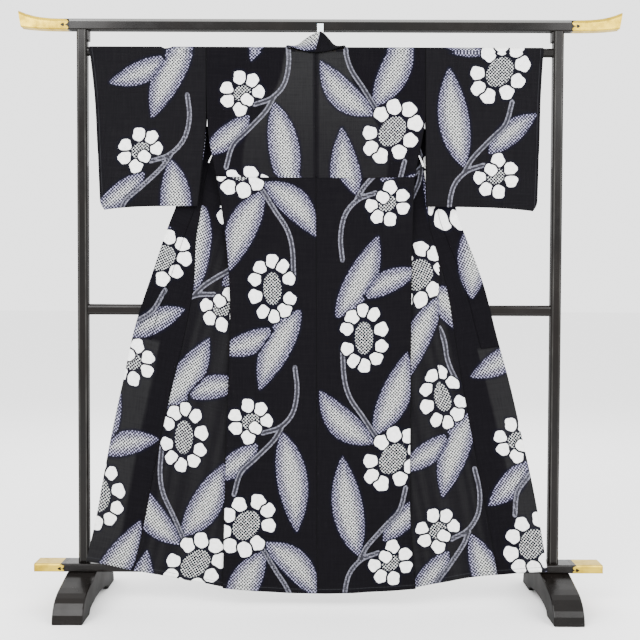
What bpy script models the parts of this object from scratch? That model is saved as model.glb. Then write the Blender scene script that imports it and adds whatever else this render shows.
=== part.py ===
"""A women's cotton yukata spread on a lacquered kimono stand, with its back to the viewer.

Metres, +Z up. The stand's feet rest on z = 0 and its posts stand in the plane y = 0. The garment's
back faces -Y. The bar of the stand runs through the sleeves and the shoulders. Below them the garment
comes forward of the stand's rails, and its two fronts are drawn out sideways, so that back, fronts and
overlaps lie side by side.

A drop is a distance down the cloth from the top of the shoulder fold. A half width is measured from the
garment's centre line, so one table serves a side whichever way that side lies.
"""

import math

import bmesh
import bpy
import numpy as np
from mathutils import Vector

# Cloth
WALL = 0.0015
LINING_WALL = 0.001
COLLAR_WALL = 0.0024
GAP = 0.0003

# Stand
BAR_Z = 1.624
BAR_RADIUS = 0.013
BAR_CLEARANCE = 0.0005
BAR_SIDES = 24
POST_X = 0.695
POST_WIDTH = 0.030
POST_CHAMFER = 0.004
TOP_RAIL_BOTTOM = 1.6845
TOP_RAIL_HEIGHT = 0.034
TOP_RAIL_DEPTH = 0.030
TOP_RAIL_HALF = 0.731
TOP_RAIL_EDGES = (0.003, 0.011)
TOP_CAP_LENGTH = 0.148
TOP_CAP_STATIONS = 9
TOP_CAP_LEAN = 0.006
TOP_CAP_OVERHANG = 0.008
MIDDLE_RAIL_Z = 0.870
MIDDLE_RAIL_HEIGHT = 0.032
MIDDLE_RAIL_DEPTH = 0.024
MIDDLE_RAIL_EDGES = (0.008, 0.010)
BOTTOM_RAIL_BOTTOM = 0.098
BOTTOM_RAIL_HEIGHT = 0.024
BOTTOM_RAIL_DEPTH = 0.068
BOTTOM_RAIL_HALF = 0.746
BOTTOM_RAIL_EDGES = (0.003, 0.004)
BOTTOM_CAP_LENGTH = 0.090
FOOT_WIDTH = 0.086
FOOT_PAD_INNER = 0.118
FOOT_ARCH_HEIGHT = 0.025
FOOT_ARCH_FULLNESS = 0.8
FOOT_ARCH_STEPS = 8
FOOT_TOP_STEPS = 10
FOOT_BEVEL = 0.003
CLEAT_HEIGHT = 0.030
CLEAT_THICKNESS = 0.005
CLEAT_EDGE = 0.002
HOOK_WIDTH = 0.018
HOOK_THICKNESS = 0.0016
HOOK_UP = 0.018
HOOK_DOWN = 0.012
HOOK_CURL = 0.0035

# Garment
SHOULDER_RADIUS = BAR_RADIUS + BAR_CLEARANCE + WALL / 2
CREST_Z = BAR_Z + SHOULDER_RADIUS
CENTRE_AT_CREST = -0.013
CENTRE_AT_HEM = -0.004
BODY_LENGTH = 1.582
HEM_DIP = 0.015
TUCK_DROP = 0.380
TUCK_STEP = 0.0012
TUCK_EDGE = 0.004
TUCK_SPREAD = 0.08
SHOULDER_HALF = 0.319
NECK_HALF = 0.083
NECK_DIP = 0.005
FRONT_FREE_DROP = 0.170
OVERLAP_TOP_DROP = 0.400
COLLAR_END_DROP = 0.930
COLLAR_WIDTH = 0.055
LINING_TOP_DROP = 0.388
LINING_BOTTOM_DROP = 1.550
LINING_MARGIN = 0.012
SLEEVE_JOIN_DROP = 0.205
SLEEVE_LENGTH = 0.465
SLEEVE_SAG = 0.012
CUFF_DROP = 0.235
CUFF_CLOSING = 0.080
SLEEVE_PINCH = 0.030
SLEEVE_PINCHED = 0.16
SLEEVE_CORNER = 0.012
SLEEVE_TOP_DROP = 0.05
CUFF_SEAM_START = 0.8
FLUTE_DEPTH = 0.004
FLUTE_TOP_DROP = 0.45
FLUTE_SPACING = 0.155
FLUTE_EASE = 0.05
BACK_FLUTE = 0.4

# How far in front of the posts each layer hangs: the back, the front's run behind it, and the
# radius at which that front turns outward again.
DEPTH_COLUMNS = ("drop", "back", "front", "turn")
DEPTHS = (
    (0.015, -0.01405, 0.01405, 0.0030),
    (0.050, -0.0146, 0.0130, 0.0030),
    (0.100, -0.0155, 0.0112, 0.0035),
    (0.170, -0.0170, 0.0080, 0.0050),
    (0.205, -0.0178, 0.0060, 0.0055),
    (0.300, -0.0200, -0.0015, 0.0060),
    (0.385, -0.0220, -0.0085, 0.0055),
    (0.470, -0.0240, -0.0145, 0.0050),
    (0.600, -0.0275, -0.0205, 0.0042),
    (0.750, -0.0315, -0.0265, 0.0034),
    (0.900, -0.0340, -0.0302, 0.0028),
    (1.050, -0.0362, -0.0326, 0.0023),
    (1.200, -0.0385, -0.0350, 0.0020),
    (1.350, -0.0410, -0.0375, 0.0018),
    (1.470, -0.0430, -0.0395, 0.0016),
    (1.600, -0.0455, -0.0420, 0.0015),
)

# Half widths at each drop: the side seam, the fold where the front turns outward, and the front's
# outer edge, with how far that edge is drawn up and how far the overlap's seam lies inside it.
SIDE_COLUMNS = ("drop", "side", "fold", "edge", "rise", "overlap")
SIDES = {
    "left": (
        (0.000, 0.3190, 0.083, 0.110, 0.000, 0.055),
        (0.035, 0.3190, 0.092, 0.118, 0.005, 0.055),
        (0.070, 0.3190, 0.098, 0.130, 0.015, 0.055),
        (0.110, 0.3190, 0.111, 0.155, 0.028, 0.055),
        (0.145, 0.3185, 0.129, 0.180, 0.040, 0.055),
        (0.170, 0.3180, 0.145, 0.200, 0.049, 0.055),
        (0.205, 0.3170, 0.166, 0.228, 0.066, 0.055),
        (0.277, 0.3050, 0.206, 0.290, 0.090, 0.055),
        (0.330, 0.2970, 0.214, 0.325, 0.095, 0.055),
        (0.385, 0.2900, 0.212, 0.358, 0.094, 0.058),
        (0.470, 0.2760, 0.196, 0.392, 0.092, 0.068),
        (0.570, 0.2630, 0.190, 0.415, 0.095, 0.078),
        (0.600, 0.2600, 0.190, 0.427, 0.095, 0.084),
        (0.750, 0.2520, 0.196, 0.479, 0.092, 0.126),
        (0.900, 0.2540, 0.206, 0.529, 0.088, 0.147),
        (1.050, 0.2610, 0.226, 0.563, 0.085, 0.143),
        (1.200, 0.2660, 0.244, 0.597, 0.082, 0.143),
        (1.350, 0.2700, 0.256, 0.627, 0.080, 0.142),
        (1.470, 0.2730, 0.262, 0.650, 0.077, 0.141),
        (1.582, 0.2760, 0.266, 0.677, 0.076, 0.141),
    ),
    "right": (
        (0.000, 0.3190, 0.083, 0.110, 0.000, 0.055),
        (0.035, 0.3190, 0.092, 0.118, 0.005, 0.055),
        (0.070, 0.3190, 0.098, 0.130, 0.015, 0.055),
        (0.110, 0.3190, 0.111, 0.155, 0.028, 0.055),
        (0.145, 0.3190, 0.129, 0.180, 0.040, 0.055),
        (0.170, 0.3190, 0.145, 0.200, 0.049, 0.055),
        (0.205, 0.3185, 0.166, 0.228, 0.065, 0.055),
        (0.277, 0.3080, 0.202, 0.292, 0.085, 0.055),
        (0.330, 0.2970, 0.208, 0.327, 0.086, 0.055),
        (0.385, 0.2880, 0.206, 0.361, 0.082, 0.060),
        (0.470, 0.2830, 0.198, 0.395, 0.072, 0.074),
        (0.570, 0.2800, 0.198, 0.420, 0.064, 0.090),
        (0.600, 0.2790, 0.199, 0.432, 0.063, 0.093),
        (0.750, 0.2770, 0.214, 0.488, 0.061, 0.107),
        (0.900, 0.2750, 0.230, 0.527, 0.058, 0.122),
        (1.050, 0.2740, 0.241, 0.568, 0.056, 0.138),
        (1.200, 0.2730, 0.251, 0.603, 0.054, 0.145),
        (1.350, 0.2730, 0.258, 0.636, 0.053, 0.150),
        (1.470, 0.2790, 0.267, 0.658, 0.051, 0.150),
        (1.582, 0.2890, 0.278, 0.676, 0.050, 0.148),
    ),
}
BOW = {"left": 0.0, "right": 0.20}

SLEEVE_COLUMNS = ("drop", "inner", "outer")
SLEEVES = {
    "left": (
        (0.000, 0.3195, 0.661),
        (0.070, 0.3195, 0.652),
        (0.140, 0.3195, 0.645),
        (0.205, 0.3195, 0.641),
        (0.365, 0.3340, 0.635),
        (0.490, 0.3480, 0.629),
    ),
    "right": (
        (0.000, 0.3195, 0.664),
        (0.070, 0.3195, 0.659),
        (0.140, 0.3195, 0.655),
        (0.205, 0.3197, 0.653),
        (0.365, 0.3205, 0.649),
        (0.490, 0.3215, 0.644),
    ),
}

# The collar round the neck, from the middle of the back to where it lies on the front: the line
# where it is sewn on, its free edge, and how far the peak is drawn to one side there.
NECK_COLUMNS = ("place", "sewn_half", "sewn_y", "sewn_z", "free_half", "free_y", "free_z", "shift")
COLLAR_NECK = (
    (0, 0.000, -0.0192, 1.6190, 0.000, -0.0210, 1.6790, 0.014),
    (1, 0.014, -0.0192, 1.6198, 0.011, -0.0200, 1.6745, 0.011),
    (2, 0.031, -0.0190, 1.6214, 0.024, -0.0090, 1.6685, 0.007),
    (3, 0.053, -0.0186, 1.6280, 0.040, 0.0080, 1.6590, 0.003),
    (4, 0.069, -0.0155, 1.6350, 0.049, 0.0220, 1.6530, 0.001),
    (5, 0.079, -0.0085, 1.6410, 0.054, 0.0330, 1.6470, 0.000),
    (6, 0.086, 0.0030, 1.6430, 0.058, 0.0440, 1.6360, 0.000),
    (7, 0.090, 0.0150, 1.6355, 0.060, 0.0560, 1.6180, 0.000),
    (8, 0.094, 0.0170, 1.6040, 0.070, 0.0650, 1.5920, 0.000),
    (9, 0.100, 0.0160, 1.5700, 0.104, 0.0690, 1.5740, 0.000),
    (10, 0.113, 0.0150, 1.5300, 0.147, 0.0560, 1.5510, 0.000),
    (11, 0.131, 0.0150, 1.4945, 0.178, 0.0400, 1.5285, 0.000),
    (12, 0.161, 0.0196, 1.4822, 0.204, 0.0260, 1.5160, 0.000),
)
NECK_SAMPLES = 2

# The drops at which the walls are worked out. Pieces that are sewn together share their rows.
BACK_DROPS = (
    BODY_LENGTH, LINING_BOTTOM_DROP, 1.460, 1.320, 1.180, 1.040, 0.900, 0.770, 0.650, 0.540, 0.450,
    LINING_TOP_DROP, TUCK_DROP - TUCK_EDGE, 0.300, SLEEVE_JOIN_DROP, 0.110, 0.045,
)
SHOULDER_DROPS = (0.045, 0.090, 0.130, FRONT_FREE_DROP)
COLLAR_DROPS = (SLEEVE_JOIN_DROP, 0.265, 0.330)
SEAM_DROPS = (OVERLAP_TOP_DROP, 0.470, 0.560, 0.660, 0.770, 0.860, COLLAR_END_DROP)
FREE_DROPS = (1.040, 1.180, 1.320, 1.460, BODY_LENGTH)
BODY_CELLS = 4
CENTRE_CELLS = 3
TURN_CELLS = 4
OUTWARD_CELLS = 4
ARC_STEPS = 8

# The foot seen from its end: how far a point lies from the middle, and its height.
FOOT_COLUMNS = ("out", "height")
FOOT_TOP = (
    (0.034, 0.0980),
    (0.090, 0.0850),
    (0.148, 0.0715),
    (0.180, 0.0530),
    (0.199, 0.0250),
    (0.204, 0.0000),
)

# The top rail's gilt tip: distance along it, its lowest and highest points, and its depth.
CAP_COLUMNS = ("along", "bottom", "top", "depth")
TOP_CAP = (
    (0.000, 1.6845, 1.7185, 0.0300),
    (0.060, 1.6850, 1.7195, 0.0302),
    (0.100, 1.6868, 1.7240, 0.0308),
    (0.128, 1.6890, 1.7315, 0.0318),
    (0.148, 1.6915, 1.7400, 0.0330),
)

NAVY_COTTON = ((0.030, 0.028, 0.036), 0.85, 0.0)
BLACK_LACQUER = ((0.018, 0.015, 0.014), 0.22, 0.0)
GILT = ((0.83, 0.66, 0.30), 0.35, 0.9)
WHITE_PLASTIC = ((0.85, 0.86, 0.86), 0.35, 0.0)


def curve(table, columns, name, at):
    """Reads a column off the smooth curve through its rows."""
    rows = np.asarray(table, float)
    x = rows[:, 0]
    y = rows[:, columns.index(name)]
    slope = np.gradient(y, x)
    at = np.clip(np.asarray(at, float), x[0], x[-1])
    i = np.clip(np.searchsorted(x, at) - 1, 0, len(x) - 2)
    step = x[i + 1] - x[i]
    t = (at - x[i]) / step
    start = (1 + 2 * t) * (1 - t) ** 2 * y[i] + t * (1 - t) ** 2 * step * slope[i]
    end = t * t * (3 - 2 * t) * y[i + 1] + t * t * (t - 1) * step * slope[i + 1]
    return start + end


def depth(name, z):
    return curve(DEPTHS, DEPTH_COLUMNS, name, CREST_Z - z)


def side(which, name, drop):
    return curve(SIDES[which], SIDE_COLUMNS, name, drop)


def sleeve(which, name, drop):
    return curve(SLEEVES[which], SLEEVE_COLUMNS, name, drop)


def place(which, half, y, z):
    """The point at a half width on one side of the garment's centre line."""
    centre = CENTRE_AT_CREST + (CENTRE_AT_HEM - CENTRE_AT_CREST) * (CREST_Z - z) / BODY_LENGTH
    sign = -1 if which == "left" else 1
    return Vector((centre + sign * half, y, z))


def flute(half, z):
    """How far the soft upright folds bring the cloth forward, more towards the hem."""
    grown = max(0.0, (CREST_Z - FLUTE_TOP_DROP - z) / (BODY_LENGTH - FLUTE_TOP_DROP)) ** 1.3
    wave = 0.5 - 0.5 * math.cos(2 * math.pi * half / FLUTE_SPACING)
    return -FLUTE_DEPTH * grown * wave


def back_point(which, half, drop):
    """A point in the middle of the back's wall."""
    edge = side(which, "side", drop)
    dip = HEM_DIP * drop / BODY_LENGTH * (1 - (half / edge) ** 2)
    z = CREST_Z - drop - dip
    step = TUCK_STEP if drop < TUCK_DROP else 0.0
    near_tuck = max(0.0, 1 - abs(drop - TUCK_DROP) / TUCK_SPREAD)
    return place(which, half, depth("back", z) - step * near_tuck + flute(half, z) * BACK_FLUTE, z)


def back_row(which, drop):
    """The back's points at a drop, from the side seam to the middle."""
    edge = side(which, "side", drop) - GAP / 2
    inner = NECK_HALF * edge / SHOULDER_HALF
    halves = [edge + (inner - edge) * k / BODY_CELLS for k in range(BODY_CELLS + 1)]
    halves += [inner + (GAP / 2 - inner) * k / CENTRE_CELLS for k in range(1, CENTRE_CELLS + 1)]
    return [back_point(which, half, drop) for half in halves]


def inner_point(which, half, drop):
    """A point on the run of the front that lies behind the back."""
    z = CREST_Z - drop
    return place(which, half, depth("front", z), z)


def turn_point(which, drop, angle):
    """A point on the turn where the front doubles back outward."""
    z = CREST_Z - drop
    radius = depth("turn", z)
    half = side(which, "fold", drop) - radius * math.sin(angle)
    return place(which, half, depth("front", z) + radius * (1 - math.cos(angle)), z)


def outward_point(which, inside, drop):
    """A point on the front's outward run, a distance inside its outer edge along the row."""
    fold = side(which, "fold", drop)
    edge = side(which, "edge", drop)
    rise = side(which, "rise", drop)
    t = 1 - inside / math.hypot(edge - fold, rise)
    bow = BOW[which] * (drop / BODY_LENGTH) ** 2 * math.sin(math.pi * t)
    z = CREST_Z - drop + rise * (t + bow)
    half = fold + (edge - fold) * t
    forward = flute(half, z) * min(1.0, max(0.0, (half - side(which, "side", drop)) / FLUTE_EASE))
    return place(which, half, depth("front", z) + 2 * depth("turn", z) + forward, z)


def shoulder_point(which, half, angle):
    """A point on the fold over the bar, from 180 degrees at the back to 0 at the front."""
    y = SHOULDER_RADIUS * math.cos(angle)
    return place(which, half, y, BAR_Z + SHOULDER_RADIUS * math.sin(angle))


def material(name, look):
    colour, roughness, metallic = look
    made = bpy.data.materials.new(name)
    made.use_nodes = True
    shader = made.node_tree.nodes["Principled BSDF"]
    shader.inputs["Base Color"].default_value = (*colour, 1.0)
    shader.inputs["Roughness"].default_value = roughness
    shader.inputs["Metallic"].default_value = metallic
    return made


def add_object(name, vertices, faces, look, smooth=True):
    mesh = bpy.data.meshes.new(name)
    mesh.from_pydata([tuple(v) for v in vertices], [], faces)
    work = bmesh.new()
    work.from_mesh(mesh)
    bmesh.ops.recalc_face_normals(work, faces=work.faces)
    work.to_mesh(mesh)
    work.free()
    if smooth:
        mesh.shade_smooth()
        mesh.set_sharp_from_angle(angle=math.radians(40))
    mesh.materials.append(material(name, look))
    made = bpy.data.objects.new(name, mesh)
    bpy.context.scene.collection.objects.link(made)
    return made


def grid_normals(points, active):
    """Each grid point's normal, from the active cells that meet there."""
    normals = {}
    for j, k in active:
        corners = [points[j][k], points[j][k + 1], points[j + 1][k + 1], points[j + 1][k]]
        normal = (corners[2] - corners[0]).cross(corners[3] - corners[1])
        for key in ((j, k), (j, k + 1), (j + 1, k + 1), (j + 1, k)):
            normals[key] = normals.get(key, Vector()) + normal
    return {key: normal.normalized() for key, normal in normals.items()}


def add_wall(name, points, active, thickness, look):
    """A closed wall of cloth on a grid of middle points, over the grid's active cells."""
    active = set(active)
    normals = grid_normals(points, active)
    keys = sorted(normals)
    index = {key: number for number, key in enumerate(keys)}
    count = len(keys)
    front = [points[j][k] + normals[j, k] * (thickness / 2) for j, k in keys]
    rear = [points[j][k] - normals[j, k] * (thickness / 2) for j, k in keys]
    faces = []
    for j, k in sorted(active):
        a, b, c, d = (index[key] for key in ((j, k), (j, k + 1), (j + 1, k + 1), (j + 1, k)))
        faces.append((a, b, c, d))
        faces.append((a + count, d + count, c + count, b + count))
        neighbours = (((j - 1, k), a, b), ((j, k + 1), b, c), ((j + 1, k), c, d), ((j, k - 1), d, a))
        for beside, start, end in neighbours:
            if beside not in active:
                faces.append((start + count, end + count, end, start))
    return add_object(name, front + rear, faces, look)


def add_body(which):
    """One body length, from the back hem over the shoulder to the front hem."""
    cells = BODY_CELLS + CENTRE_CELLS
    wide = BODY_CELLS + TURN_CELLS + OUTWARD_CELLS
    rows = [back_row(which, drop) for drop in BACK_DROPS]
    active = {(j, k) for j in range(len(rows)) for k in range(cells)}
    top = len(rows)
    edge = SHOULDER_HALF - GAP / 2
    halves = [edge + (NECK_HALF - edge) * k / BODY_CELLS for k in range(BODY_CELLS + 1)]
    halves += [NECK_HALF + (GAP / 2 - NECK_HALF) * k / CENTRE_CELLS for k in range(1, CENTRE_CELLS + 1)]
    for step in range(ARC_STEPS + 1):
        angle = math.pi * (1 - step / ARC_STEPS)
        rows.append([shoulder_point(which, half, angle) for half in halves])
    for k in range(1, CENTRE_CELLS + 1):
        rows[top][BODY_CELLS + k].z -= NECK_DIP * (k - 1) / (CENTRE_CELLS - 1)
    active.add((top, BODY_CELLS))
    active |= {(j, k) for j in range(top, top + ARC_STEPS + 1) for k in range(BODY_CELLS)}
    front_drops = SHOULDER_DROPS + COLLAR_DROPS + SEAM_DROPS + FREE_DROPS
    for drop in front_drops:
        edge = side(which, "side", drop) - GAP / 2
        fold = side(which, "fold", drop)
        halves = [edge + (fold - edge) * k / BODY_CELLS for k in range(BODY_CELLS + 1)]
        row = [inner_point(which, half, drop) for half in halves]
        if drop >= FRONT_FREE_DROP:
            row += [turn_point(which, drop, math.pi * k / TURN_CELLS) for k in range(1, TURN_CELLS)]
            seam = max(side(which, "overlap", drop), COLLAR_WIDTH) + GAP / 2
            run = math.hypot(side(which, "edge", drop) - fold, side(which, "rise", drop))
            inside = [run + (seam - run) * k / OUTWARD_CELLS for k in range(OUTWARD_CELLS + 1)]
            row += [outward_point(which, distance, drop) for distance in inside]
        rows.append(row)
        if drop < BODY_LENGTH:
            across = wide if drop >= FRONT_FREE_DROP else BODY_CELLS
            active |= {(len(rows) - 1, k) for k in range(across)}
    add_wall(f"body_{which}", rows, active, WALL, NAVY_COTTON)


def add_overlap(which):
    """The overlap strip, stepped in where the collar's end lies on its edge."""
    inner_cells = 3
    outer_cells = 2
    rows = []
    active = set()
    line = COLLAR_WIDTH + GAP
    for drop in SEAM_DROPS + FREE_DROPS:
        seam = side(which, "overlap", drop) - GAP / 2
        inside = [seam + (line - seam) * k / inner_cells for k in range(inner_cells + 1)]
        inside += [line * (1 - k / outer_cells) for k in range(1, outer_cells + 1)]
        if drop < BODY_LENGTH:
            across = inner_cells + outer_cells if drop >= COLLAR_END_DROP else inner_cells
            active |= {(len(rows), k) for k in range(across)}
        rows.append([outward_point(which, distance, drop) for distance in inside])
    add_wall(f"overlap_{which}", rows, active, WALL, NAVY_COTTON)


def neck_row(which, at, across):
    """The collar's points at a place round the neck, from where it is sewn on to its free edge."""
    read = {name: float(curve(COLLAR_NECK, NECK_COLUMNS, name, at)) for name in NECK_COLUMNS[1:]}
    sewn = place(which, read["sewn_half"], read["sewn_y"], read["sewn_z"])
    free = place(which, read["free_half"], read["free_y"], read["free_z"])
    free.x += read["shift"]
    return [sewn.lerp(free, k / across) for k in range(across + 1)]


def add_collar():
    """The collar band, in one length from one front edge round the neck to the other."""
    across = 3
    arms = {}
    for which in ("left", "right"):
        places = [number / NECK_SAMPLES for number in range((len(COLLAR_NECK) - 1) * NECK_SAMPLES + 1)]
        arm = [neck_row(which, at, across) for at in places]
        for drop in COLLAR_DROPS + SEAM_DROPS:
            end = COLLAR_END_DROP - GAP if drop == COLLAR_END_DROP else drop
            inside = [COLLAR_WIDTH * (1 - k / across) for k in range(across + 1)]
            arm.append([outward_point(which, distance, end) for distance in inside])
        arms[which] = arm
    rows = arms["left"][:0:-1] + arms["right"]
    active = {(j, k) for j in range(len(rows) - 1) for k in range(across)}
    add_wall("collar", rows, active, COLLAR_WALL, NAVY_COTTON)


def add_seat_lining():
    """The lining behind the lower back, made from the back's own points."""
    behind = Vector((0, WALL / 2 + GAP + LINING_WALL / 2, 0))
    rows = []
    for drop in BACK_DROPS:
        if LINING_TOP_DROP <= drop <= LINING_BOTTOM_DROP:
            halves = []
            for which in ("left", "right"):
                row = back_row(which, drop)
                row[0] = row[0].lerp(row[1], LINING_MARGIN / (row[1] - row[0]).length)
                halves.append([point + behind for point in row])
            halves[0][-1] = halves[0][-1].lerp(halves[1][-1], 0.5)
            rows.append(halves[0] + halves[1][-2::-1])
    active = {(j, k) for j in range(len(rows) - 1) for k in range(len(rows[0]) - 1)}
    add_wall("seat_lining", rows, active, LINING_WALL, NAVY_COTTON)


def sleeve_section(which, t):
    """The sleeve's middle line at a fraction of its width, up the back layer and down the front."""
    bottom = SLEEVE_LENGTH + SLEEVE_SAG * t ** 3
    drops = [bottom - SLEEVE_PINCH * (1 - math.cos(math.pi / 2 * k / 3)) for k in range(4)]
    straight = bottom - SLEEVE_PINCH
    drops += [straight + (SLEEVE_TOP_DROP - straight) * k / 5 for k in range(1, 6)]
    back = []
    front = []
    for drop in drops:
        z = CREST_Z - drop
        inner = sleeve(which, "inner", drop) + GAP / 2
        outer = sleeve(which, "outer", drop)
        low = max(0.0, 1 - (bottom - drop) / SLEEVE_PINCH)
        round_off = SLEEVE_CORNER * low ** 2 * t ** 6
        half = inner + (outer - inner) * t - round_off
        middle = (depth("back", z) + depth("front", z)) / 2
        gape = (depth("front", z) - depth("back", z)) / 2
        below_cuff = min(1.0, max(0.0, (drop - CUFF_DROP) / CUFF_CLOSING))
        closed = max(low, below_cuff * max(0.0, (t - CUFF_SEAM_START) / (1 - CUFF_SEAM_START)))
        gape *= max(SLEEVE_PINCHED, math.sqrt(max(0.0, 1 - closed ** 2)))
        back.append(place(which, half, middle - gape, z))
        front.append(place(which, half, middle + gape, z))
    arc = []
    for step in range(ARC_STEPS + 1):
        inner = sleeve(which, "inner", 0.0) + GAP / 2
        half = inner + (sleeve(which, "outer", 0.0) - inner) * t
        arc.append(shoulder_point(which, half, math.pi * (1 - step / ARC_STEPS)))
    sewn = sum(1 for drop in drops if drop > CUFF_DROP)
    return back + arc + front[::-1], sewn


def add_sleeve(which):
    """A flat bag over the bar: closed below, and at its outer edge from the cuff's slit down."""
    stations = (0.0, 0.2, 0.4, 0.6, 0.8, 0.92, 1.0)
    sections = [sleeve_section(which, t) for t in stations]
    loops = [section for section, _ in sections]
    sewn = sections[-1][1]
    around = len(loops[0])
    normals = []
    for i, loop in enumerate(loops):
        along = loops[min(i + 1, len(loops) - 1)], loops[max(i - 1, 0)]
        row = []
        for j in range(around):
            forward = along[0][j] - along[1][j]
            round_it = loop[(j + 1) % around] - loop[j - 1]
            row.append(forward.cross(round_it).normalized())
        normals.append(row)
    centre = sum(loops[0], Vector()) / around
    if (loops[0][around // 2] - centre).dot(normals[0][around // 2]) < 0:
        normals = [[-normal for normal in row] for row in normals]
    outer = [[p + n * WALL / 2 for p, n in zip(loop, row)] for loop, row in zip(loops, normals)]
    inner = [[p - n * WALL / 2 for p, n in zip(loop, row)] for loop, row in zip(loops, normals)]
    inward = Vector((WALL if which == "left" else -WALL, 0, 0))
    for j in range(sewn):
        inner[-1][j] += inward
        inner[-1][around - 1 - j] += inward
    vertices = [p for row in outer for p in row] + [p for row in inner for p in row]
    count = len(loops) * around
    faces = []
    for i in range(len(loops) - 1):
        for j in range(around):
            a = i * around + j
            b = i * around + (j + 1) % around
            faces.append((a, b, b + around, a + around))
            faces.append((a + count, a + around + count, b + around + count, b + count))
    last = (len(loops) - 1) * around
    for j in range(around):
        faces.append((j, (j + 1) % around, (j + 1) % around + count, j + count))
        if sewn - 1 <= j < around - sewn:
            a = last + j
            b = last + (j + 1) % around
            faces.append((a, b, b + count, a + count))
    for j in range(sewn - 1):
        a, b = last + j, last + j + 1
        c, d = last + around - 2 - j, last + around - 1 - j
        faces.append((a, b, c, d))
        faces.append((a + count, b + count, c + count, d + count))
    a, b = last + sewn - 1, last + around - sewn
    faces.append((a, b, b + count, a + count))
    add_object(f"sleeve_{which}", vertices, faces, NAVY_COTTON)


def add_prism(name, outline, start, end, axis, look, bevel=0.0):
    """An outline in the plane across an axis, run from one place on it to another."""
    across = {"x": (1, 2, 0), "y": (0, 2, 1)}[axis]
    vertices = []
    for at in (start, end):
        for first, second in outline:
            point = [0.0, 0.0, 0.0]
            point[across[0]] = first
            point[across[1]] = second
            point[across[2]] = at
            vertices.append(point)
    count = len(outline)
    faces = [tuple(range(count)), tuple(range(count, 2 * count))]
    for j in range(count):
        k = (j + 1) % count
        faces.append((j, k, k + count, j + count))
    made = add_object(name, vertices, faces, look)
    if bevel:
        work = bmesh.new()
        work.from_mesh(made.data)
        ends = [e for e in work.edges if abs(e.verts[0].co[across[2]] - e.verts[1].co[across[2]]) < 1e-6]
        bmesh.ops.bevel(work, geom=ends, offset=bevel, segments=2, affect="EDGES", profile=0.5)
        work.to_mesh(made.data)
        work.free()
        made.data.set_sharp_from_angle(angle=math.radians(40))
    return made


def rounded_outline(width, bottom, top, edges, steps):
    """A rectangle centred across, with its lower and upper edges rounded."""
    low_radius, high_radius = edges
    outline = []
    corners = (
        (width / 2 - low_radius, bottom + low_radius, low_radius, -90),
        (width / 2 - high_radius, top - high_radius, high_radius, 0),
        (-width / 2 + high_radius, top - high_radius, high_radius, 90),
        (-width / 2 + low_radius, bottom + low_radius, low_radius, 180),
    )
    for x, z, radius, first in corners:
        for step in range(steps + 1):
            angle = math.radians(first + 90 * step / steps)
            outline.append((x + radius * math.cos(angle), z + radius * math.sin(angle)))
    return outline


def add_rails():
    half_gap = GAP / 2
    top = TOP_RAIL_BOTTOM + TOP_RAIL_HEIGHT
    outline = rounded_outline(TOP_RAIL_DEPTH, TOP_RAIL_BOTTOM, top, TOP_RAIL_EDGES, 3)
    end = TOP_RAIL_HALF - half_gap
    add_prism("top_rail", outline, -end, end, "x", BLACK_LACQUER)
    between_posts = POST_X - POST_WIDTH / 2 - GAP
    bottom = MIDDLE_RAIL_Z - MIDDLE_RAIL_HEIGHT / 2
    outline = rounded_outline(MIDDLE_RAIL_DEPTH, bottom, bottom + MIDDLE_RAIL_HEIGHT, MIDDLE_RAIL_EDGES, 3)
    add_prism("middle_rail", outline, -between_posts, between_posts, "x", BLACK_LACQUER)
    angles = [2 * math.pi * k / BAR_SIDES for k in range(BAR_SIDES)]
    bar = [(BAR_RADIUS * math.cos(a), BAR_Z + BAR_RADIUS * math.sin(a)) for a in angles]
    add_prism("sleeve_bar", bar, -between_posts, between_posts, "x", BLACK_LACQUER)
    bottom = BOTTOM_RAIL_BOTTOM
    outline = rounded_outline(BOTTOM_RAIL_DEPTH, bottom, bottom + BOTTOM_RAIL_HEIGHT, BOTTOM_RAIL_EDGES, 2)
    end = BOTTOM_RAIL_HALF - half_gap
    add_prism("bottom_rail", outline, -end, end, "x", BLACK_LACQUER)


def add_posts():
    bottom = BOTTOM_RAIL_BOTTOM + BOTTOM_RAIL_HEIGHT + GAP
    top = TOP_RAIL_BOTTOM - GAP
    for which, sign in (("left", -1), ("right", 1)):
        half = POST_WIDTH / 2
        c = POST_CHAMFER
        ring = ((half, half - c), (half - c, half), (-half + c, half), (-half, half - c))
        ring += tuple((-x, -y) for x, y in ring)
        vertices = [(sign * POST_X + x, y, z) for z in (bottom, top) for x, y in ring]
        faces = [tuple(range(8)), tuple(range(8, 16))]
        faces += [(j, (j + 1) % 8, (j + 1) % 8 + 8, j + 8) for j in range(8)]
        add_object(f"post_{which}", vertices, faces, BLACK_LACQUER)
        inner = POST_X - half - GAP
        outline = rounded_outline(MIDDLE_RAIL_DEPTH, top - CLEAT_HEIGHT, top, (CLEAT_EDGE, CLEAT_EDGE), 1)
        ends = sorted((sign * inner, sign * (inner - CLEAT_THICKNESS)))
        add_prism(f"cleat_{which}", outline, ends[0], ends[1], "x", BLACK_LACQUER)


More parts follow.
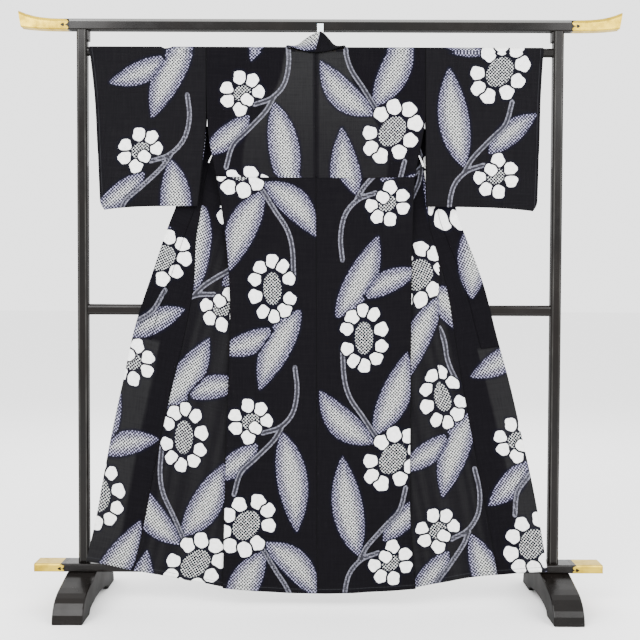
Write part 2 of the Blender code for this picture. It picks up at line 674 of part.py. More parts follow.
def add_top_caps():
    """The gilt tips of the top rail, which flare and turn up."""
    steps = 2
    for which, sign in (("left", -1), ("right", 1)):
        vertices = []
        stations = np.linspace(0, TOP_CAP_LENGTH, TOP_CAP_STATIONS)
        for along in stations:
            bottom, top, wide = (curve(TOP_CAP, CAP_COLUMNS, name, along) for name in CAP_COLUMNS[1:])
            for y, z in rounded_outline(wide, bottom, top, TOP_RAIL_EDGES, steps):
                lean = TOP_CAP_LEAN * (z - bottom) / TOP_RAIL_HEIGHT * (along / TOP_CAP_LENGTH) ** 2
                x = TOP_RAIL_HALF + GAP / 2 + along * (1 - TOP_CAP_OVERHANG / TOP_CAP_LENGTH) + lean
                vertices.append((sign * x, y, z))
        ring = 4 * (steps + 1)
        last = (len(stations) - 1) * ring
        faces = [tuple(range(ring)), tuple(range(last, last + ring))]
        for i in range(len(stations) - 1):
            for j in range(ring):
                a = i * ring + j
                b = i * ring + (j + 1) % ring
                faces.append((a, b, b + ring, a + ring))
        add_object(f"top_cap_{which}", vertices, faces, GILT)


def add_bottom_caps():
    bottom = BOTTOM_RAIL_BOTTOM
    top = bottom + BOTTOM_RAIL_HEIGHT
    outline = rounded_outline(BOTTOM_RAIL_DEPTH, bottom, top, BOTTOM_RAIL_EDGES, 2)
    start = BOTTOM_RAIL_HALF + GAP / 2
    end = BOTTOM_RAIL_HALF + BOTTOM_CAP_LENGTH
    add_prism("bottom_cap_left", outline, -end, -start, "x", GILT)
    add_prism("bottom_cap_right", outline, start, end, "x", GILT)


def add_feet():
    """Two feet under the bottom rail, rounded over and arched between their pads."""
    high = []
    for step in range(FOOT_TOP_STEPS + 1):
        t = step / FOOT_TOP_STEPS * (len(FOOT_TOP) - 1)
        i = min(int(t), len(FOOT_TOP) - 2)
        points = [FOOT_TOP[min(max(i + n, 0), len(FOOT_TOP) - 1)] for n in (-1, 0, 1, 2)]
        high.append(catmull(points, t - i))
    high[0] = (high[0][0], BOTTOM_RAIL_BOTTOM - GAP)
    arch = []
    for step in range(FOOT_ARCH_STEPS + 1):
        angle = math.pi * step / FOOT_ARCH_STEPS
        height = FOOT_ARCH_HEIGHT * math.sin(angle) ** FOOT_ARCH_FULLNESS
        arch.append((FOOT_PAD_INNER * math.cos(angle), height))
    near = [(-y, z) for y, z in high]
    outline = high[::-1] + near + arch[::-1]
    for which, sign in (("left", -1), ("right", 1)):
        ends = sorted((sign * (POST_X - FOOT_WIDTH / 2), sign * (POST_X + FOOT_WIDTH / 2)))
        add_prism(f"foot_{which}", outline, ends[0], ends[1], "x", BLACK_LACQUER, bevel=FOOT_BEVEL)


def catmull(points, t):
    """A point on the smooth curve through four points, between the middle two."""
    made = []
    for a, b, c, d in zip(*points):
        curved = (2 * a - 5 * b + 4 * c - d) * t * t + (3 * b - a - 3 * c + d) * t ** 3
        made.append(0.5 * (2 * b + (c - a) * t + curved))
    return tuple(made)


def add_collar_hook():
    """A flat hook on the top rail's face, which takes the collar's hanging loop behind its peak."""
    face = -TOP_RAIL_DEPTH / 2 - GAP - HOOK_THICKNESS / 2
    low = TOP_RAIL_BOTTOM - HOOK_DOWN
    middle = [(face, TOP_RAIL_BOTTOM + HOOK_UP), (face, TOP_RAIL_BOTTOM), (face, low)]
    for step in range(1, 7):
        angle = math.radians(180 + 30 * step)
        middle.append((face + HOOK_CURL * (1 + math.cos(angle)), low + HOOK_CURL * math.sin(angle)))
    left = []
    right = []
    for i, (y, z) in enumerate(middle):
        ahead = Vector(middle[min(i + 1, len(middle) - 1)]) - Vector(middle[max(i - 1, 0)])
        normal = Vector((-ahead.y, ahead.x)).normalized() * HOOK_THICKNESS / 2
        left.append((y + normal.x, z + normal.y))
        right.append((y - normal.x, z - normal.y))
    add_prism("collar_hook", left + right[::-1], -HOOK_WIDTH / 2, HOOK_WIDTH / 2, "x", WHITE_PLASTIC)


def main():
    for old in list(bpy.data.objects):
        bpy.data.objects.remove(old)
    for which in ("left", "right"):
        add_body(which)
        add_overlap(which)
        add_sleeve(which)
    add_collar()
    add_seat_lining()
    add_rails()
    add_posts()
    add_top_caps()
    add_bottom_caps()
    add_feet()
    add_collar_hook()


if __name__ == "__main__":
    main()
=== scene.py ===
"""The looks of a women's tie-dyed cotton yukata, spread on a lacquered kimono stand, seen from its back.

Metres, +Z up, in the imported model's own frame. The shapes of the cloth follow the same tables as the part's
source. A drop is a distance down the cloth from the top of the shoulder fold. A half width is measured from
the garment's centre line. The print is laid out on the bolt: "inward" is the distance from the selvedge that
lies at the centre of the back, and "along" runs down the bolt and repeats.
"""

import math

import bpy
import numpy as np
from mathutils import Matrix, Vector


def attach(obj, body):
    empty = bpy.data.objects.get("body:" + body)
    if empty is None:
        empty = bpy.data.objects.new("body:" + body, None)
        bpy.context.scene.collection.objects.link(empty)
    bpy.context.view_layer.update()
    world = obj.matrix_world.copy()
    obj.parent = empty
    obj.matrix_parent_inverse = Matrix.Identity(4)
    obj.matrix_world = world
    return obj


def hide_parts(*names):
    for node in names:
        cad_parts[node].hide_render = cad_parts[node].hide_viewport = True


bl_info = {
    "name": "Cotton Yukata on a Kimono Stand",
    "version": (1, 0, 0),
    "blender": (4, 5, 0),
    "location": "3D View > Sidebar > Yukata",
    "description": "Dresses a tie-dyed cotton yukata and the lacquered stand that it hangs on",
    "category": "Object",
}

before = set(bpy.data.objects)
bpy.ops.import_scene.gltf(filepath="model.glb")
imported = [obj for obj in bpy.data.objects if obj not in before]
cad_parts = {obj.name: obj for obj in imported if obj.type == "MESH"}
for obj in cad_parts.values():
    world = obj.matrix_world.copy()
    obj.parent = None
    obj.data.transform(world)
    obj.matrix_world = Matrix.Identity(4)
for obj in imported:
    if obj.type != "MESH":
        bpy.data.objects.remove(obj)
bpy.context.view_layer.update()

# Stand
BAR_Z = 1.624
BAR_RADIUS = 0.013
POST_X = 0.695
TOP_RAIL_HALF = 0.731
TOP_RAIL_MIDDLE = 1.7015
TOP_TIP_HEIGHT = 0.034
BOTTOM_RAIL_HALF = 0.746
BOTTOM_RAIL_MIDDLE = 0.110
BOTTOM_TIP_HEIGHT = 0.024
# How far above the top rail's middle its painted highlight, a lighter band along its top, begins
TOP_HIGHLIGHT_RISE = 0.0070
# How far off a post's middle the painted highlights along its edges lie
POST_EDGE_INNER = (0.0070, 0.0090)
POST_EDGE_OUTER = (0.0120, 0.0105)

# Garment
WALL = 0.0015
LINING_WALL = 0.001
COLLAR_WALL = 0.0024
SHOULDER_RADIUS = BAR_RADIUS + 0.0005 + WALL / 2
CREST_Z = BAR_Z + SHOULDER_RADIUS
CENTRE_AT_CREST = -0.013
CENTRE_AT_HEM = -0.004
BODY_LENGTH = 1.582
BACK_TOP_DROP = 0.018
FRONT_TOP_DROP = 0.030
HEM_DIP = 0.015
TUCK_DROP = 0.380
TUCK_STEP = 0.0012
TUCK_SPREAD = 0.08
SHOULDER_HALF = 0.319
NECK_HALF = 0.083
NECK_DIP = 0.005
FRONT_FREE_DROP = 0.170
OVERLAP_TOP_DROP = 0.400
COLLAR_END_DROP = 0.930
COLLAR_WIDTH = 0.055
LINING_TOP_DROP = 0.388
LINING_BOTTOM_DROP = 1.550
LINING_MARGIN = 0.012
SLEEVE_TOP_DROP = 0.020
SLEEVE_JOIN_DROP = 0.205
SLEEVE_LENGTH = 0.465
SLEEVE_SAG = 0.012
SLEEVE_PINCH = 0.030
SLEEVE_CORNER = 0.012
CUFF_DROP = 0.235
CUFF_CLOSING = 0.080
CUFF_SEAM_START = 0.8
FLUTE_DEPTH = 0.004
FLUTE_TOP_DROP = 0.45
FLUTE_GROWTH = 1.3
FLUTE_SPACING = 0.155
FLUTE_EASE = 0.05
BACK_FLUTE = 0.4

# Soft creases: how far each brings the cloth forward, and how far apart they lie
DRAG_DEPTH, DRAG_SPACING = 0.0030, 0.27
RIPPLE_DEPTH, RIPPLE_SPACING = 0.0012, 0.093
SLANT_DEPTH, SLANT_SPACING, SLANT_HEIGHT = 0.0011, 0.12, 0.19
CREASE_DEPTH, CREASE_X, CREASE_WIDTH = 0.0035, 0.343, 0.006

# How finely the panels are divided
ROW = 0.0060
LINING_ROW = 0.008
ARC_STEPS = 8
SIDE_CELLS = 40
NECK_CELLS = 14
TURN_CELLS = 6
OUT_CELLS = 52
OVERLAP_CELLS = 16
OVERLAP_RIM_CELLS = 10
COLLAR_CELLS = 10
NECK_ROWS = 64
SLEEVE_CELLS = 56
PINCH_ROWS = 8
SLEEVE_ROWS = 65
LINING_CELLS = 40

# The cloth's travel over the bar, from the back to the front
ARC_ANGLES = [math.pi * (1 - step / ARC_STEPS) for step in range(ARC_STEPS + 1)]
ARC_TRAVEL = (np.arange(ARC_STEPS + 1)[:, None] / ARC_STEPS - 0.5) * math.pi * SHOULDER_RADIUS

DEPTH_COLUMNS = ("drop", "back", "front", "turn")
DEPTHS = (
    (0.015, -0.01405, 0.01405, 0.0030),
    (0.050, -0.0146, 0.0130, 0.0030),
    (0.100, -0.0155, 0.0112, 0.0035),
    (0.170, -0.0170, 0.0080, 0.0050),
    (0.205, -0.0178, 0.0060, 0.0055),
    (0.300, -0.0200, -0.0015, 0.0060),
    (0.385, -0.0220, -0.0085, 0.0055),
    (0.470, -0.0240, -0.0145, 0.0050),
    (0.600, -0.0275, -0.0205, 0.0042),
    (0.750, -0.0315, -0.0265, 0.0034),
    (0.900, -0.0340, -0.0302, 0.0028),
    (1.050, -0.0362, -0.0326, 0.0023),
    (1.200, -0.0385, -0.0350, 0.0020),
    (1.350, -0.0410, -0.0375, 0.0018),
    (1.470, -0.0430, -0.0395, 0.0016),
    (1.600, -0.0455, -0.0420, 0.0015),
)

SIDE_COLUMNS = ("drop", "side", "fold", "edge", "rise", "overlap")
SIDES = {
    "left": (
        (0.000, 0.3190, 0.083, 0.110, 0.000, 0.055),
        (0.035, 0.3190, 0.092, 0.118, 0.005, 0.055),
        (0.070, 0.3190, 0.098, 0.130, 0.015, 0.055),
        (0.110, 0.3190, 0.111, 0.155, 0.028, 0.055),
        (0.145, 0.3185, 0.129, 0.180, 0.040, 0.055),
        (0.170, 0.3180, 0.145, 0.200, 0.049, 0.055),
        (0.205, 0.3170, 0.166, 0.228, 0.066, 0.055),
        (0.277, 0.3110, 0.206, 0.290, 0.090, 0.055),
        (0.330, 0.3010, 0.214, 0.325, 0.095, 0.055),
        (0.385, 0.2900, 0.212, 0.358, 0.094, 0.058),
        (0.470, 0.2760, 0.196, 0.392, 0.092, 0.068),
        (0.570, 0.2630, 0.190, 0.415, 0.095, 0.078),
        (0.600, 0.2600, 0.190, 0.427, 0.095, 0.084),
        (0.750, 0.2520, 0.196, 0.479, 0.092, 0.126),
        (0.900, 0.2540, 0.206, 0.529, 0.088, 0.147),
        (1.050, 0.2610, 0.226, 0.563, 0.085, 0.143),
        (1.200, 0.2660, 0.244, 0.597, 0.082, 0.143),
        (1.350, 0.2700, 0.256, 0.627, 0.080, 0.142),
        (1.470, 0.2730, 0.262, 0.650, 0.077, 0.141),
        (1.582, 0.2760, 0.266, 0.677, 0.076, 0.141),
    ),
    "right": (
        (0.000, 0.3190, 0.083, 0.110, 0.000, 0.055),
        (0.035, 0.3190, 0.092, 0.118, 0.005, 0.055),
        (0.070, 0.3190, 0.098, 0.130, 0.015, 0.055),
        (0.110, 0.3190, 0.111, 0.155, 0.028, 0.055),
        (0.145, 0.3190, 0.129, 0.180, 0.040, 0.055),
        (0.170, 0.3190, 0.145, 0.200, 0.049, 0.055),
        (0.205, 0.3185, 0.166, 0.228, 0.065, 0.055),
        (0.277, 0.3080, 0.202, 0.292, 0.085, 0.055),
        (0.330, 0.2970, 0.208, 0.327, 0.086, 0.055),
        (0.385, 0.2880, 0.206, 0.361, 0.082, 0.060),
        (0.470, 0.2830, 0.198, 0.395, 0.072, 0.074),
        (0.570, 0.2800, 0.198, 0.420, 0.064, 0.090),
        (0.600, 0.2790, 0.199, 0.432, 0.063, 0.093),
        (0.750, 0.2770, 0.214, 0.488, 0.061, 0.107),
        (0.900, 0.2750, 0.230, 0.527, 0.058, 0.122),
        (1.050, 0.2740, 0.241, 0.568, 0.056, 0.138),
        (1.200, 0.2730, 0.251, 0.603, 0.054, 0.145),
        (1.350, 0.2730, 0.258, 0.636, 0.053, 0.150),
        (1.470, 0.2790, 0.267, 0.658, 0.051, 0.150),
        (1.582, 0.2890, 0.278, 0.676, 0.050, 0.148),
    ),
}
BOW = {"left": 0.0, "right": 0.20}

SLEEVE_COLUMNS = ("drop", "inner", "outer")
SLEEVES = {
    "left": (
        (0.000, 0.3195, 0.661),
        (0.070, 0.3195, 0.652),
        (0.140, 0.3195, 0.645),
        (0.205, 0.3195, 0.641),
        (0.365, 0.3340, 0.635),
        (0.490, 0.3480, 0.629),
    ),
    "right": (
        (0.000, 0.3195, 0.664),
        (0.070, 0.3195, 0.659),
        (0.140, 0.3195, 0.655),
        (0.205, 0.3197, 0.653),
        (0.365, 0.3205, 0.649),
        (0.490, 0.3215, 0.644),
    ),
}

NECK_COLUMNS = ("place", "sewn_half", "sewn_y", "sewn_z", "free_half", "free_y", "free_z", "shift")
COLLAR_NECK = (
    (0, 0.000, -0.0192, 1.6190, 0.000, -0.0210, 1.6790, 0.014),
    (1, 0.014, -0.0192, 1.6198, 0.011, -0.0200, 1.6745, 0.011),
    (2, 0.031, -0.0190, 1.6214, 0.024, -0.0090, 1.6685, 0.007),
    (3, 0.053, -0.0186, 1.6280, 0.040, 0.0080, 1.6590, 0.003),
    (4, 0.069, -0.0155, 1.6350, 0.049, 0.0220, 1.6530, 0.001),
    (5, 0.079, -0.0085, 1.6410, 0.054, 0.0330, 1.6470, 0.000),
    (6, 0.086, 0.0030, 1.6430, 0.058, 0.0440, 1.6360, 0.000),
    (7, 0.090, 0.0150, 1.6355, 0.060, 0.0560, 1.6180, 0.000),
    (8, 0.094, 0.0170, 1.6040, 0.070, 0.0650, 1.5920, 0.000),
    (9, 0.100, 0.0160, 1.5700, 0.104, 0.0690, 1.5740, 0.000),
    (10, 0.113, 0.0150, 1.5300, 0.147, 0.0560, 1.5510, 0.000),
    (11, 0.131, 0.0150, 1.4945, 0.178, 0.0400, 1.5285, 0.000),
    (12, 0.161, 0.0196, 1.4822, 0.204, 0.0260, 1.5160, 0.000),
)

# The print on the bolt. A flower is a ring of petals round a dotted heart.
REPEAT = 1.045
FLOWER_COLUMNS = (
    "inward", "along", "major", "minor", "tilt", "petals", "petal", "heart_major", "heart_minor",
)
FLOWERS = (
    (0.206, 0.000, 0.080, 0.058, 52, 9, 0.0220, 0.050, 0.036),
    (0.128, 0.354, 0.080, 0.053, 92, 10, 0.0198, 0.050, 0.028),
    (0.193, 0.742, 0.048, 0.046, 27, 7, 0.0196, 0.029, 0.024),
)
# A petal tucked towards the heart, by flower and petal, and its share of the ring's size
TUCKED_PETALS = {(2, 2): 0.52}
PETAL_DRIFT = 0.12
PETAL_VARIETY = 0.05
PETAL_WAVE = 0.06
LEAF_COLUMNS = ("base_inward", "base_along", "tip_inward", "tip_along", "width", "bend")
LEAVES = (
    (0.153, 0.046, -0.004, 0.206, 0.084, 0.10),
    (0.152, 0.070, 0.255, 0.310, 0.088, -0.06),
    (0.117, 0.470, 0.294, 0.548, 0.066, 0.05),
    (0.045, 0.412, 0.168, 0.652, 0.086, -0.05),
    (0.172, 0.806, 0.315, 0.925, 0.066, 0.04),
    (0.100, 0.766, 0.059, 1.061, 0.090, 0.03),
)
LEAF_BELLY = 0.9
LEAF_POINT = 2.1
LEAF_PARTING = 0.0045
VINES = (
    ((0.166, 0.055), (0.120, 0.128), (0.086, 0.180), (0.070, 0.236), (0.066, 0.318)),
    ((0.063, 0.580), (0.057, 0.648), (0.070, 0.712), (0.106, 0.754), (0.158, 0.774)),
    ((0.104, 0.758), (0.128, 0.796), (0.180, 0.850), (0.222, 0.893), (0.242, 0.958)),
)

# How far round a figure its field is worked out, and the fields' values beyond that
FLOWER_REACH = 0.13
LEAF_REACH = 0.06
VINE_REACH = 0.03
OFF_FIGURE = -0.02
OFF_VINE = 0.03

# How each panel lies on the bolt: along = start + turned * drop, and inward = distance + shift.
# A start or shift that changes down the panel is a table of drops and values.
BACK_LAY = {
    "left": {
        "start": -0.440,
        "hidden": 0.093,
        "turned": 1,
        "shift": ((0.0, -0.022), (0.37, -0.020), (0.39, 0.0), (1.6, 0.0)),
    },
    "right": {
        "start": 1.291,
        "hidden": 0.094,
        "turned": -1,
        "shift": ((0.0, -0.016), (0.37, -0.016), (0.9, -0.010), (1.6, -0.024)),
    },
}
FRONT_LAY = {
    "left": {
        "start": ((0.0, -0.432), (0.2, -0.470), (0.40, -0.560), (1.6, -0.560)),
        "turned": -1,
        "shift": ((0.17, 0.126), (0.40, 0.080), (0.60, 0.066), (0.81, 0.103), (1.175, 0.062), (1.51, 0.033)),
    },
    "right": {
        "start": ((0.0, 1.282), (0.2, 1.330), (0.40, 1.402), (1.6, 1.402)),
        "turned": 1,
        "shift": ((0.17, 0.126), (0.40, 0.100), (0.70, 0.142), (1.044, 0.066), (1.42, 0.044), (1.6, 0.044)),
    },
}
EDGE_LAY = {
    "left": {
        "start": ((0.2, 1.745), (0.45, 1.767), (0.62, 1.765), (0.75, 1.745), (1.6, 1.745)),
        "turned": -1,
        "shift": (
            (0.2, 0.195), (0.45, 0.195), (0.54, 0.204), (0.716, 0.195),
            (1.01, 0.177), (1.23, 0.150), (1.386, 0.124), (1.6, 0.124),
        ),
    },
    "right": {
        "start": (
            (0.2, -0.455), (0.42, -0.458), (0.485, -0.462), (0.56, -0.500),
            (0.70, -0.505), (0.86, -0.458), (1.6, -0.455),
        ),
        "turned": 1,
        "shift": (
            (0.2, 0.188), (0.45, 0.190), (0.60, 0.212), (0.86, 0.208),
            (0.93, 0.188), (1.23, 0.172), (1.6, 0.174),
        ),
    },
}
SLEEVE_LAY = {
    "left": {"start": 0.438, "turned": 1, "shift": 0.008},
    "right": {"start": 0.073, "turned": -1, "shift": -0.010},
}
COLLAR_NEAR_PEAK = (0.10, 0.24)
COLLAR_PLAIN_SHIFT = 0.12
COLLAR_LEAF_SHIFT = (0.13, 0.12)

# The pleat in the right front takes up some of its print between two drops.
PLEAT_HALF = 0.350
PLEAT_HIDDEN = 0.055
PLEAT_TOP = (0.40, 0.42)
PLEAT_END = (0.92, 1.08)

# Where the left front and edge are plain: beyond a half width above a height, and between two drops
PLAIN_SIDE = ((0.285, 1.175), (0.375, 1.112))
PLAIN_EDGE_DROPS = (0.27, 0.618)
PLAIN_INWARD = 0.36

# How much painted backlight the cloth shows as a lighter colour, from 0 where it is opaque to 1 where light
# comes
# through one layer, and what darkens it: the neck, the seam allowances and the seams
LINED_BACKLIGHT = 0.06
NECK_SHADE = 0.55
NECK_SHADE_DROPS = (0.05, 0.36)
ALLOWANCE_HALF = 0.010
ALLOWANCE_SHADE = 0.8
INNER_BACKLIGHT = 0.1
STREAK_BACKLIGHT = (0.22, 0.30)
BESIDE_SEAM = (0.012, 0.030)
SEAM_SHADE = 0.75
FRONT_LIGHTENS = (0.5, 0.75)
SLEEVE_BACKLIGHT = 0.10
CUFF_TURN = 0.02
OVERLAP_BACKLIGHT = (0.02, 0.80)
SINGLE_STRIP = {"left": 0.082, "right": 0.066}

# The flat layout: how much of the square each face of a panel takes
UV_WIDTH = 0.48
UV_LENGTH = 0.98
UV_MARGIN = 0.005

# The four corners of every cell, as the rows and columns of the points there
CELL_CORNERS = [
    (rows, columns)
    for rows in (slice(None, -1), slice(1, None))
    for columns in (slice(None, -1), slice(1, None))
]

# The studio: each light's name, place and power in watts
LIGHTS = (
    ("key_light", (-2.4, -3.4, 3.6), 300.0),
    ("fill_light", (2.8, -3.2, 2.4), 200.0),
    ("back_light", (0.0, 3.0, 3.0), 120.0),
)
LIGHT_SIZE = 3.0
LIGHT_AIM = (0.0, 0.0, 0.9)
FLOOR_HALF = 40.0
SENSOR_WIDTH = 36.0


def curve(table, columns, name, at):
    """Reads a column off the smooth curve through its rows."""
    rows = np.asarray(table, float)
    x = rows[:, 0]
    y = rows[:, columns.index(name)]
    slope = np.gradient(y, x)
    at = np.clip(np.asarray(at, float), x[0], x[-1])
    i = np.clip(np.searchsorted(x, at) - 1, 0, len(x) - 2)
    step = x[i + 1] - x[i]
    t = (at - x[i]) / step
    start = (1 + 2 * t) * (1 - t) ** 2 * y[i] + t * (1 - t) ** 2 * step * slope[i]
    end = t * t * (3 - 2 * t) * y[i + 1] + t * t * (t - 1) * step * slope[i + 1]
    return start + end


def straight(table, at):
    """Reads a two-column table with straight lines between its rows."""
    rows = np.asarray(table, float)
    return np.interp(at, rows[:, 0], rows[:, 1])


def ease(low, high, at):
    """0 below low, 1 above high, and smooth between them."""
    t = np.clip((np.asarray(at, float) - low) / (high - low), 0, 1)
    return t * t * (3 - 2 * t)


def wave(turns):
    """A smooth wave between 0 and 1, at a number of turns."""
    return 0.5 + 0.5 * np.sin(2 * math.pi * turns)


def depth(name, z):
    """Reads the depth of a layer at a height."""
    return curve(DEPTHS, DEPTH_COLUMNS, name, CREST_Z - z)


def side(which, name, drop):
    """Reads a half width of a body length."""
    return curve(SIDES[which], SIDE_COLUMNS, name, drop)


def sleeve(which, name, drop):
    """Reads a half width of a sleeve."""
    return curve(SLEEVES[which], SLEEVE_COLUMNS, name, drop)


def place(which, half, y, z):
    """Points at half widths on one side of the garment's centre line."""
    centre = CENTRE_AT_CREST + (CENTRE_AT_HEM - CENTRE_AT_CREST) * (CREST_Z - z) / BODY_LENGTH
    sign = -1 if which == "left" else 1
    return np.stack(np.broadcast_arrays(centre + sign * half, y, z), -1)


def flute(half, z):
    """How far the soft upright folds bring the cloth forward, more towards the hem."""
    grown = np.maximum(0.0, (CREST_Z - FLUTE_TOP_DROP - z) / (BODY_LENGTH - FLUTE_TOP_DROP)) ** FLUTE_GROWTH
    wave = 0.5 - 0.5 * np.cos(2 * math.pi * half / FLUTE_SPACING)
    return -FLUTE_DEPTH * grown * wave


def back_point(which, half, drop):
    """Points on the back, with the hem's dip and the tuck's step."""
    edge = side(which, "side", drop)
    dip = HEM_DIP * drop / BODY_LENGTH * (1 - (half / edge) ** 2)
    z = CREST_Z - drop - dip
    step = np.where(drop < TUCK_DROP, TUCK_STEP, 0.0)
    near_tuck = np.maximum(0.0, 1 - np.abs(drop - TUCK_DROP) / TUCK_SPREAD)
    return place(which, half, depth("back", z) - step * near_tuck + flute(half, z) * BACK_FLUTE, z)


def inner_point(which, half, drop):
    """Points on the front where it lies against the back, inward of its fold."""
    z = CREST_Z - drop
    return place(which, half, depth("front", z), z)


def turn_point(which, drop, angle):
    """Points on the front's turn at its fold."""
    z = CREST_Z - drop
    radius = depth("turn", z)
    half = side(which, "fold", drop) - radius * np.sin(angle)
    return place(which, half, depth("front", z) + radius * (1 - np.cos(angle)), z)


def run_length(which, drop):
    """How far the front runs outward along a row, from its fold to its outer edge."""
    return np.hypot(side(which, "edge", drop) - side(which, "fold", drop), side(which, "rise", drop))


def outward_point(which, inside, drop):
    """Points on the front where it runs back outward, at distances inside its outer edge."""
    fold = side(which, "fold", drop)
    edge = side(which, "edge", drop)
    rise = side(which, "rise", drop)
    t = 1 - inside / np.hypot(edge - fold, rise)
    bow = BOW[which] * (drop / BODY_LENGTH) ** 2 * np.sin(math.pi * t)
    z = CREST_Z - drop + rise * (t + bow)
    half = fold + (edge - fold) * t
    forward = flute(half, z) * np.clip((half - side(which, "side", drop)) / FLUTE_EASE, 0, 1)
    return place(which, half, depth("front", z) + 2 * depth("turn", z) + forward, z)


def shoulder_point(which, half, angle):
    """Points over the bar, at an angle up from its front."""
    y = SHOULDER_RADIUS * math.cos(angle)
    return place(which, half, y, BAR_Z + SHOULDER_RADIUS * math.sin(angle))


def soften(points):
    """Brings every layer forward alike where the hanging cloth drags and creases."""
    x, z = points[..., 0], points[..., 2]
    drop = CREST_Z - z
    low = ease(0.05, 0.9, drop)
    high = ease(0.02, 0.12, drop) * (1 - ease(0.45, 0.8, drop))
    drag = wave(x / DRAG_SPACING + 0.35 * np.sin(2.1 * z) + 0.1)
    ripple = wave(x / RIPPLE_SPACING + 0.8 * z + 0.4 * np.sin(5.0 * z))
    slant = wave(np.abs(x) / SLANT_SPACING - z / SLANT_HEIGHT)
    crease = np.exp(-(((x - CREASE_X) / CREASE_WIDTH) ** 2))
    crease = crease * ease(0.62, 0.72, z) * (1 - ease(0.95, 1.05, z))
    moved = points.copy()
    moved[..., 1] -= low * (DRAG_DEPTH * drag + RIPPLE_DEPTH * ripple)
    moved[..., 1] -= high * SLANT_DEPTH * slant + CREASE_DEPTH * crease
    return moved


def petal_field(inward, along, flower):
    """Signed distances into a flower's petals, on three channels so that neighbours stay apart."""
    read = dict(zip(FLOWER_COLUMNS, FLOWERS[flower]))
    tilt = math.radians(read["tilt"])
    cos, sin = math.cos(tilt), math.sin(tilt)
    fields = np.full(inward.shape + (3,), -1.0)
    count = read["petals"]
    for number in range(count):
        around = 2 * math.pi * (number + PETAL_DRIFT * math.sin(number * 2.3)) / count
        share = TUCKED_PETALS.get((flower, number), 1.0)
        u = read["major"] * share * math.cos(around)
        v = read["minor"] * share * math.sin(around)
        dx = inward - (read["inward"] + u * cos - v * sin)
        dy = along - (read["along"] + u * sin + v * cos)
        angle = np.arctan2(dy, dx)
        waves = np.cos(3 * angle + number * 1.9) + np.cos(5 * angle + number * 0.8)
        reach = read["petal"] * (1 + PETAL_VARIETY * math.sin(number * 1.7)) * (1 + PETAL_WAVE * waves)
        channel = 1 if number == count - 1 and count % 3 == 1 else number % 3
        fields[..., channel] = np.maximum(fields[..., channel], reach - np.hypot(dx, dy))
    dx, dy = inward - read["inward"], along - read["along"]
    u = (dx * cos + dy * sin) / read["heart_major"]
    v = (dy * cos - dx * sin) / read["heart_minor"]
    heart = (1 - np.hypot(u, v)) * read["heart_minor"]
    return fields, heart


def leaf_field(inward, along, leaf):
    """Distance into a leaf from its edge."""
    read = dict(zip(LEAF_COLUMNS, leaf))
    base = np.array([read["base_inward"], read["base_along"]])
    axis = np.array([read["tip_inward"], read["tip_along"]]) - base
    length = math.hypot(*axis)
    axis /= length
    dx, dy = inward - base[0], along - base[1]
    t = (dx * axis[0] + dy * axis[1]) / length
    aside = dy * axis[0] - dx * axis[1] - read["bend"] * length * 4 * t * (1 - t)
    from_middle = np.abs(2 * np.clip(t, 0, 1) ** LEAF_BELLY - 1)
    half = read["width"] / 2 * (1 - from_middle ** LEAF_POINT)
    beyond = np.maximum(0.0, np.abs(t - 0.5) - 0.5) * length
    return half - np.abs(aside) - 3 * beyond


def smooth_line(points, pieces=6):
    """A polyline on the smooth curve through the points."""
    points = [np.array(p) for p in points]
    points = [2 * points[0] - points[1]] + points + [2 * points[-1] - points[-2]]
    line = []
    for a, b, c, d in zip(points, points[1:], points[2:], points[3:]):
        for k in range(pieces):
            t = k / pieces
            curved = (2 * a - 5 * b + 4 * c - d) * t * t + (3 * b - a - 3 * c + d) * t ** 3
            line.append(0.5 * (2 * b + (c - a) * t + curved))
    line.append(points[-2])
    return line


def vine_field(inward, along, vine):
    """Distance from the middle of a vine."""
    nearest = np.full(inward.shape, 1.0)
    line = smooth_line(vine)
    for a, b in zip(line, line[1:]):
        run = b - a
        t = np.clip(((inward - a[0]) * run[0] + (along - a[1]) * run[1]) / (run @ run), 0, 1)
        nearest = np.minimum(nearest, np.hypot(inward - a[0] - run[0] * t, along - a[1] - run[1] * t))
    return nearest


def print_fields(inward, along):
    """The print at each point of the bolt: petals on three channels, and heart, leaf and vine."""
    shape = np.shape(inward)
    inward = np.ravel(inward)
    along = np.mod(np.ravel(along), REPEAT)
    petals = np.full(inward.shape + (3,), OFF_FIGURE)
    leaf, under_leaf, heart = (np.full(inward.shape, OFF_FIGURE) for _ in range(3))
    stem = np.full(inward.shape, OFF_VINE)

    def figures_near(figures, span, reach):
        """Each figure with the points near it, on this repeat of the bolt and on its neighbours."""
        for turn in (-REPEAT, 0.0, REPEAT):
            for number, figure in enumerate(figures):
                low, high = sorted(span(figure))
                near = (along + turn > low - reach) & (along + turn < high + reach)
                if near.any():
                    yield number, near, inward[near], along[near] + turn

    for flower, near, across, down in figures_near(FLOWERS, lambda row: (row[1], row[1]), FLOWER_REACH):
        fields, middle = petal_field(across, down, flower)
        petals[near] = np.maximum(petals[near], fields)
        heart[near] = np.maximum(heart[near], middle)
    for number, near, across, down in figures_near(LEAVES, lambda row: (row[1], row[3]), LEAF_REACH):
        field = leaf_field(across, down, LEAVES[number])
        under_leaf[near] = np.maximum(under_leaf[near], np.minimum(leaf[near], field))
        leaf[near] = np.maximum(leaf[near], field)
    for number, near, across, down in figures_near(VINES, lambda row: (row[0][1], row[-1][1]), VINE_REACH):
        stem[near] = np.minimum(stem[near], vine_field(across, down, VINES[number]))
    marks = np.stack([heart, np.minimum(leaf, leaf - under_leaf - LEAF_PARTING), stem], -1)
    return petals.reshape(shape + (3,)), marks.reshape(shape + (3,))


def cell_facings(points):
    """The cross product of each cell's diagonals: along its normal, and twice its area long."""
    return np.cross(points[1:, 1:] - points[:-1, :-1], points[1:, :-1] - points[:-1, 1:])


